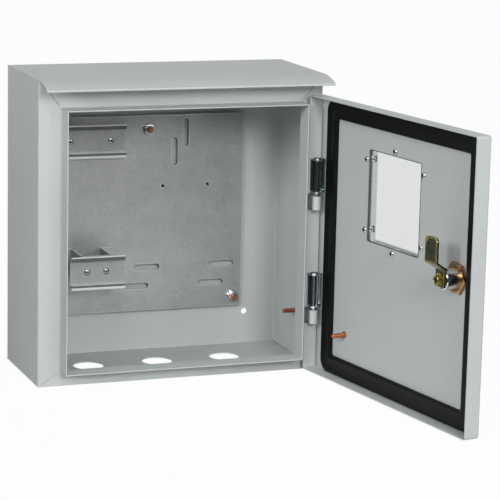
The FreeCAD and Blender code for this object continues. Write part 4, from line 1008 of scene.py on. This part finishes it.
SOFT = 60.0
GASKET_LOW, GASKET_HIGH = (-277.6, -132.3), (-5.9, 150.0)
GASKET_SECTION = [(0.0, -9.8), (0.0, -7.4), (0.3, -6.5), (1.0, -6.05), (2.4, -5.9), (4.6, -6.0),
                  (6.6, -6.45), (9.2, -6.6), (11.8, -6.45), (13.8, -6.0), (16.0, -5.9),
                  (17.5, -6.05), (18.2, -6.5), (18.5, -7.4), (18.5, -9.8)]
OUTER_CORNER, INNER_CORNER, GASKET_WIDTH = 12.0, 2.0, 18.5
LOCK_SIDE_SHARE = 0.92
bm = bmesh.new()
rims = []
for inset, lift in GASKET_SECTION:
    low = (GASKET_LOW[0] + LOCK_SIDE_SHARE * inset, GASKET_LOW[1] + inset)
    high = [value - inset for value in GASKET_HIGH]
    radius = OUTER_CORNER + (INNER_CORNER - OUTER_CORNER) * inset / GASKET_WIDTH
    rims.append(rounded_loop(bm, low, high, radius, lift))
closed_strip(bm, rims)
gasket = settle(bm, "foam_gasket", "door_gasket", DOOR_INSIDE, SOFT)

# %% [markdown]
# Round the window opening the cut edge of the door lies in shadow as a thin dark line. A dark strip
# on that edge stands in for it as painted shade, made as the gasket is, from loops that follow its
# low crown. No two loops that meet have one height, because a bridge between such loops can twist.

# %% Lay painted shade on the edge of the window
EDGE_SHADE_SECTION = [(46.3, -9.8), (46.3, -9.4), (45.95, -9.3), (45.6, -9.5), (45.6, -11.0)]
EDGE_SHADE_STRAIGHT = 44.0
bm = bmesh.new()
rims = []
for half, lift in EDGE_SHADE_SECTION:
    low, high = [[centre + side * half for centre in WINDOW_CENTRE] for side in (-1.0, 1.0)]
    rims.append(rounded_loop(bm, low, high, half - EDGE_SHADE_STRAIGHT, lift))
closed_strip(bm, rims)
settle(bm, "window_edge_painted_shade", "window_seal", DOOR_INSIDE, SOFT, replace=False)

# %% [markdown]
# ## Weld beads
# The front flanges meet in mitres that are welded and left under the paint, so a low rounded ridge
# runs from each corner of the opening to the corner of the box. A bead is a half round swept along
# a line, so rings are strung along the line, uneven as a hand weld is, and bridged one to the next.
# Half of each ring is sunk in the sheet. The floor is tacked to the right wall in the same way, and
# a thin dark bead in the fold of the door beside the hinges is painted shade, where the fold lies
# in shadow. Soft lamps hardly shade so low a ridge, so its underside is painted darker as painted
# shade.


# %% Lay the weld beads
def weld_bead(bm, begin, finish_at, radius, ripple, stations):
    """A tube of uneven thickness from one point to another, with narrowed ends."""
    begin, finish_at = Vector(begin), Vector(finish_at)
    along = (finish_at - begin).to_track_quat("Z", "Y").to_matrix().to_4x4()
    rings = []
    for station in range(stations + 1):
        share = station / stations
        swell = 1.0 + ripple * math.sin(WAVE * station) * math.cos(SLOW_WAVE * station)
        taper = min(1.0, END_SHARE + END_SLOPE * min(share, 1.0 - share))
        place = Matrix.Translation(begin.lerp(finish_at, share)) @ along
        ring = bmesh.ops.create_circle(bm, segments=10, radius=radius * swell * taper, matrix=place)
        rings.append(list({edge for corner in ring["verts"] for edge in corner.link_edges}))
    for first, second in zip(rings, rings[1:]):
        bmesh.ops.bridge_loops(bm, edges=first + second)
    for rim in (rings[0], rings[-1]):
        bmesh.ops.edgeloop_fill(bm, edges=rim)
    bmesh.ops.recalc_face_normals(bm, faces=bm.faces)
    mark_faces(bm, bm.faces, 0.0)
    # The underside of each bead gets painted shade.
    mark_faces(bm, [face for face in bm.faces if face.normal.z < 0.0], WELD_PAINTED_SHADE)


WAVE, SLOW_WAVE, END_SHARE, END_SLOPE, WELD_PAINTED_SHADE = 2.4, 1.1, 0.35, 4.0, 0.45
RIPPLE, ROUGH_RIPPLE = 0.25, 0.3
FLANGE_FACE = -122.0
bm = bmesh.new()
for side in (-1.0, 1.0):
    weld_bead(bm, (side * 147.0, FLANGE_FACE, 151.5), (side * 128.2, FLANGE_FACE, 128.5),
              radius=0.8, ripple=RIPPLE, stations=40)
weld_bead(bm, (-133.2, FLANGE_FACE, 134.8), (-129.6, FLANGE_FACE, 130.4),
          radius=1.1, ripple=ROUGH_RIPPLE, stations=10)
settle(bm, "header_weld_beads", "front_header", smooth=SOFT, replace=False)

bm = bmesh.new()
for side in (-1.0, 1.0):
    weld_bead(bm, (side * 146.5, FLANGE_FACE, -152.0), (side * 128.4, FLANGE_FACE, -140.8),
              radius=0.5, ripple=RIPPLE, stations=30)
settle(bm, "sill_weld_beads", "front_sill", smooth=SOFT, replace=False)

# %% Tack the floor and lay painted shade in the door fold
FLOOR_CORNER, TACK_RIPPLE = (148.5, -152.4), 0.35
bm = bmesh.new()
for rear, front, size, count in ((-4.0, -46.0, 1.3, 26), (-104.0, -110.0, 1.2, 8)):
    ends = [(FLOOR_CORNER[0], depth, FLOOR_CORNER[1]) for depth in (rear, front)]
    weld_bead(bm, *ends, size, TACK_RIPPLE, count)
settle(bm, "floor_tack_welds", "floor_panel", smooth=SOFT, replace=False)

DOOR_FOLD, FOLD_LOW, FOLD_HIGH = (8.2, -9.7), -150.5, 133.0
FOLD_SHADE_RADIUS, FOLD_SHADE_RIPPLE, FOLD_SHADE_DARK = 0.42, 0.1, 0.9
bm = bmesh.new()
weld_bead(bm, (*DOOR_FOLD, FOLD_LOW), (*DOOR_FOLD, FOLD_HIGH), FOLD_SHADE_RADIUS, FOLD_SHADE_RIPPLE,
          stations=60)
# The whole bead takes the dark edge tone: a painted shade line in the fold.
mark_faces(bm, bm.faces, FOLD_SHADE_DARK)
settle(bm, "door_fold_painted_shade", "door_panel", DOOR, SOFT, replace=False)
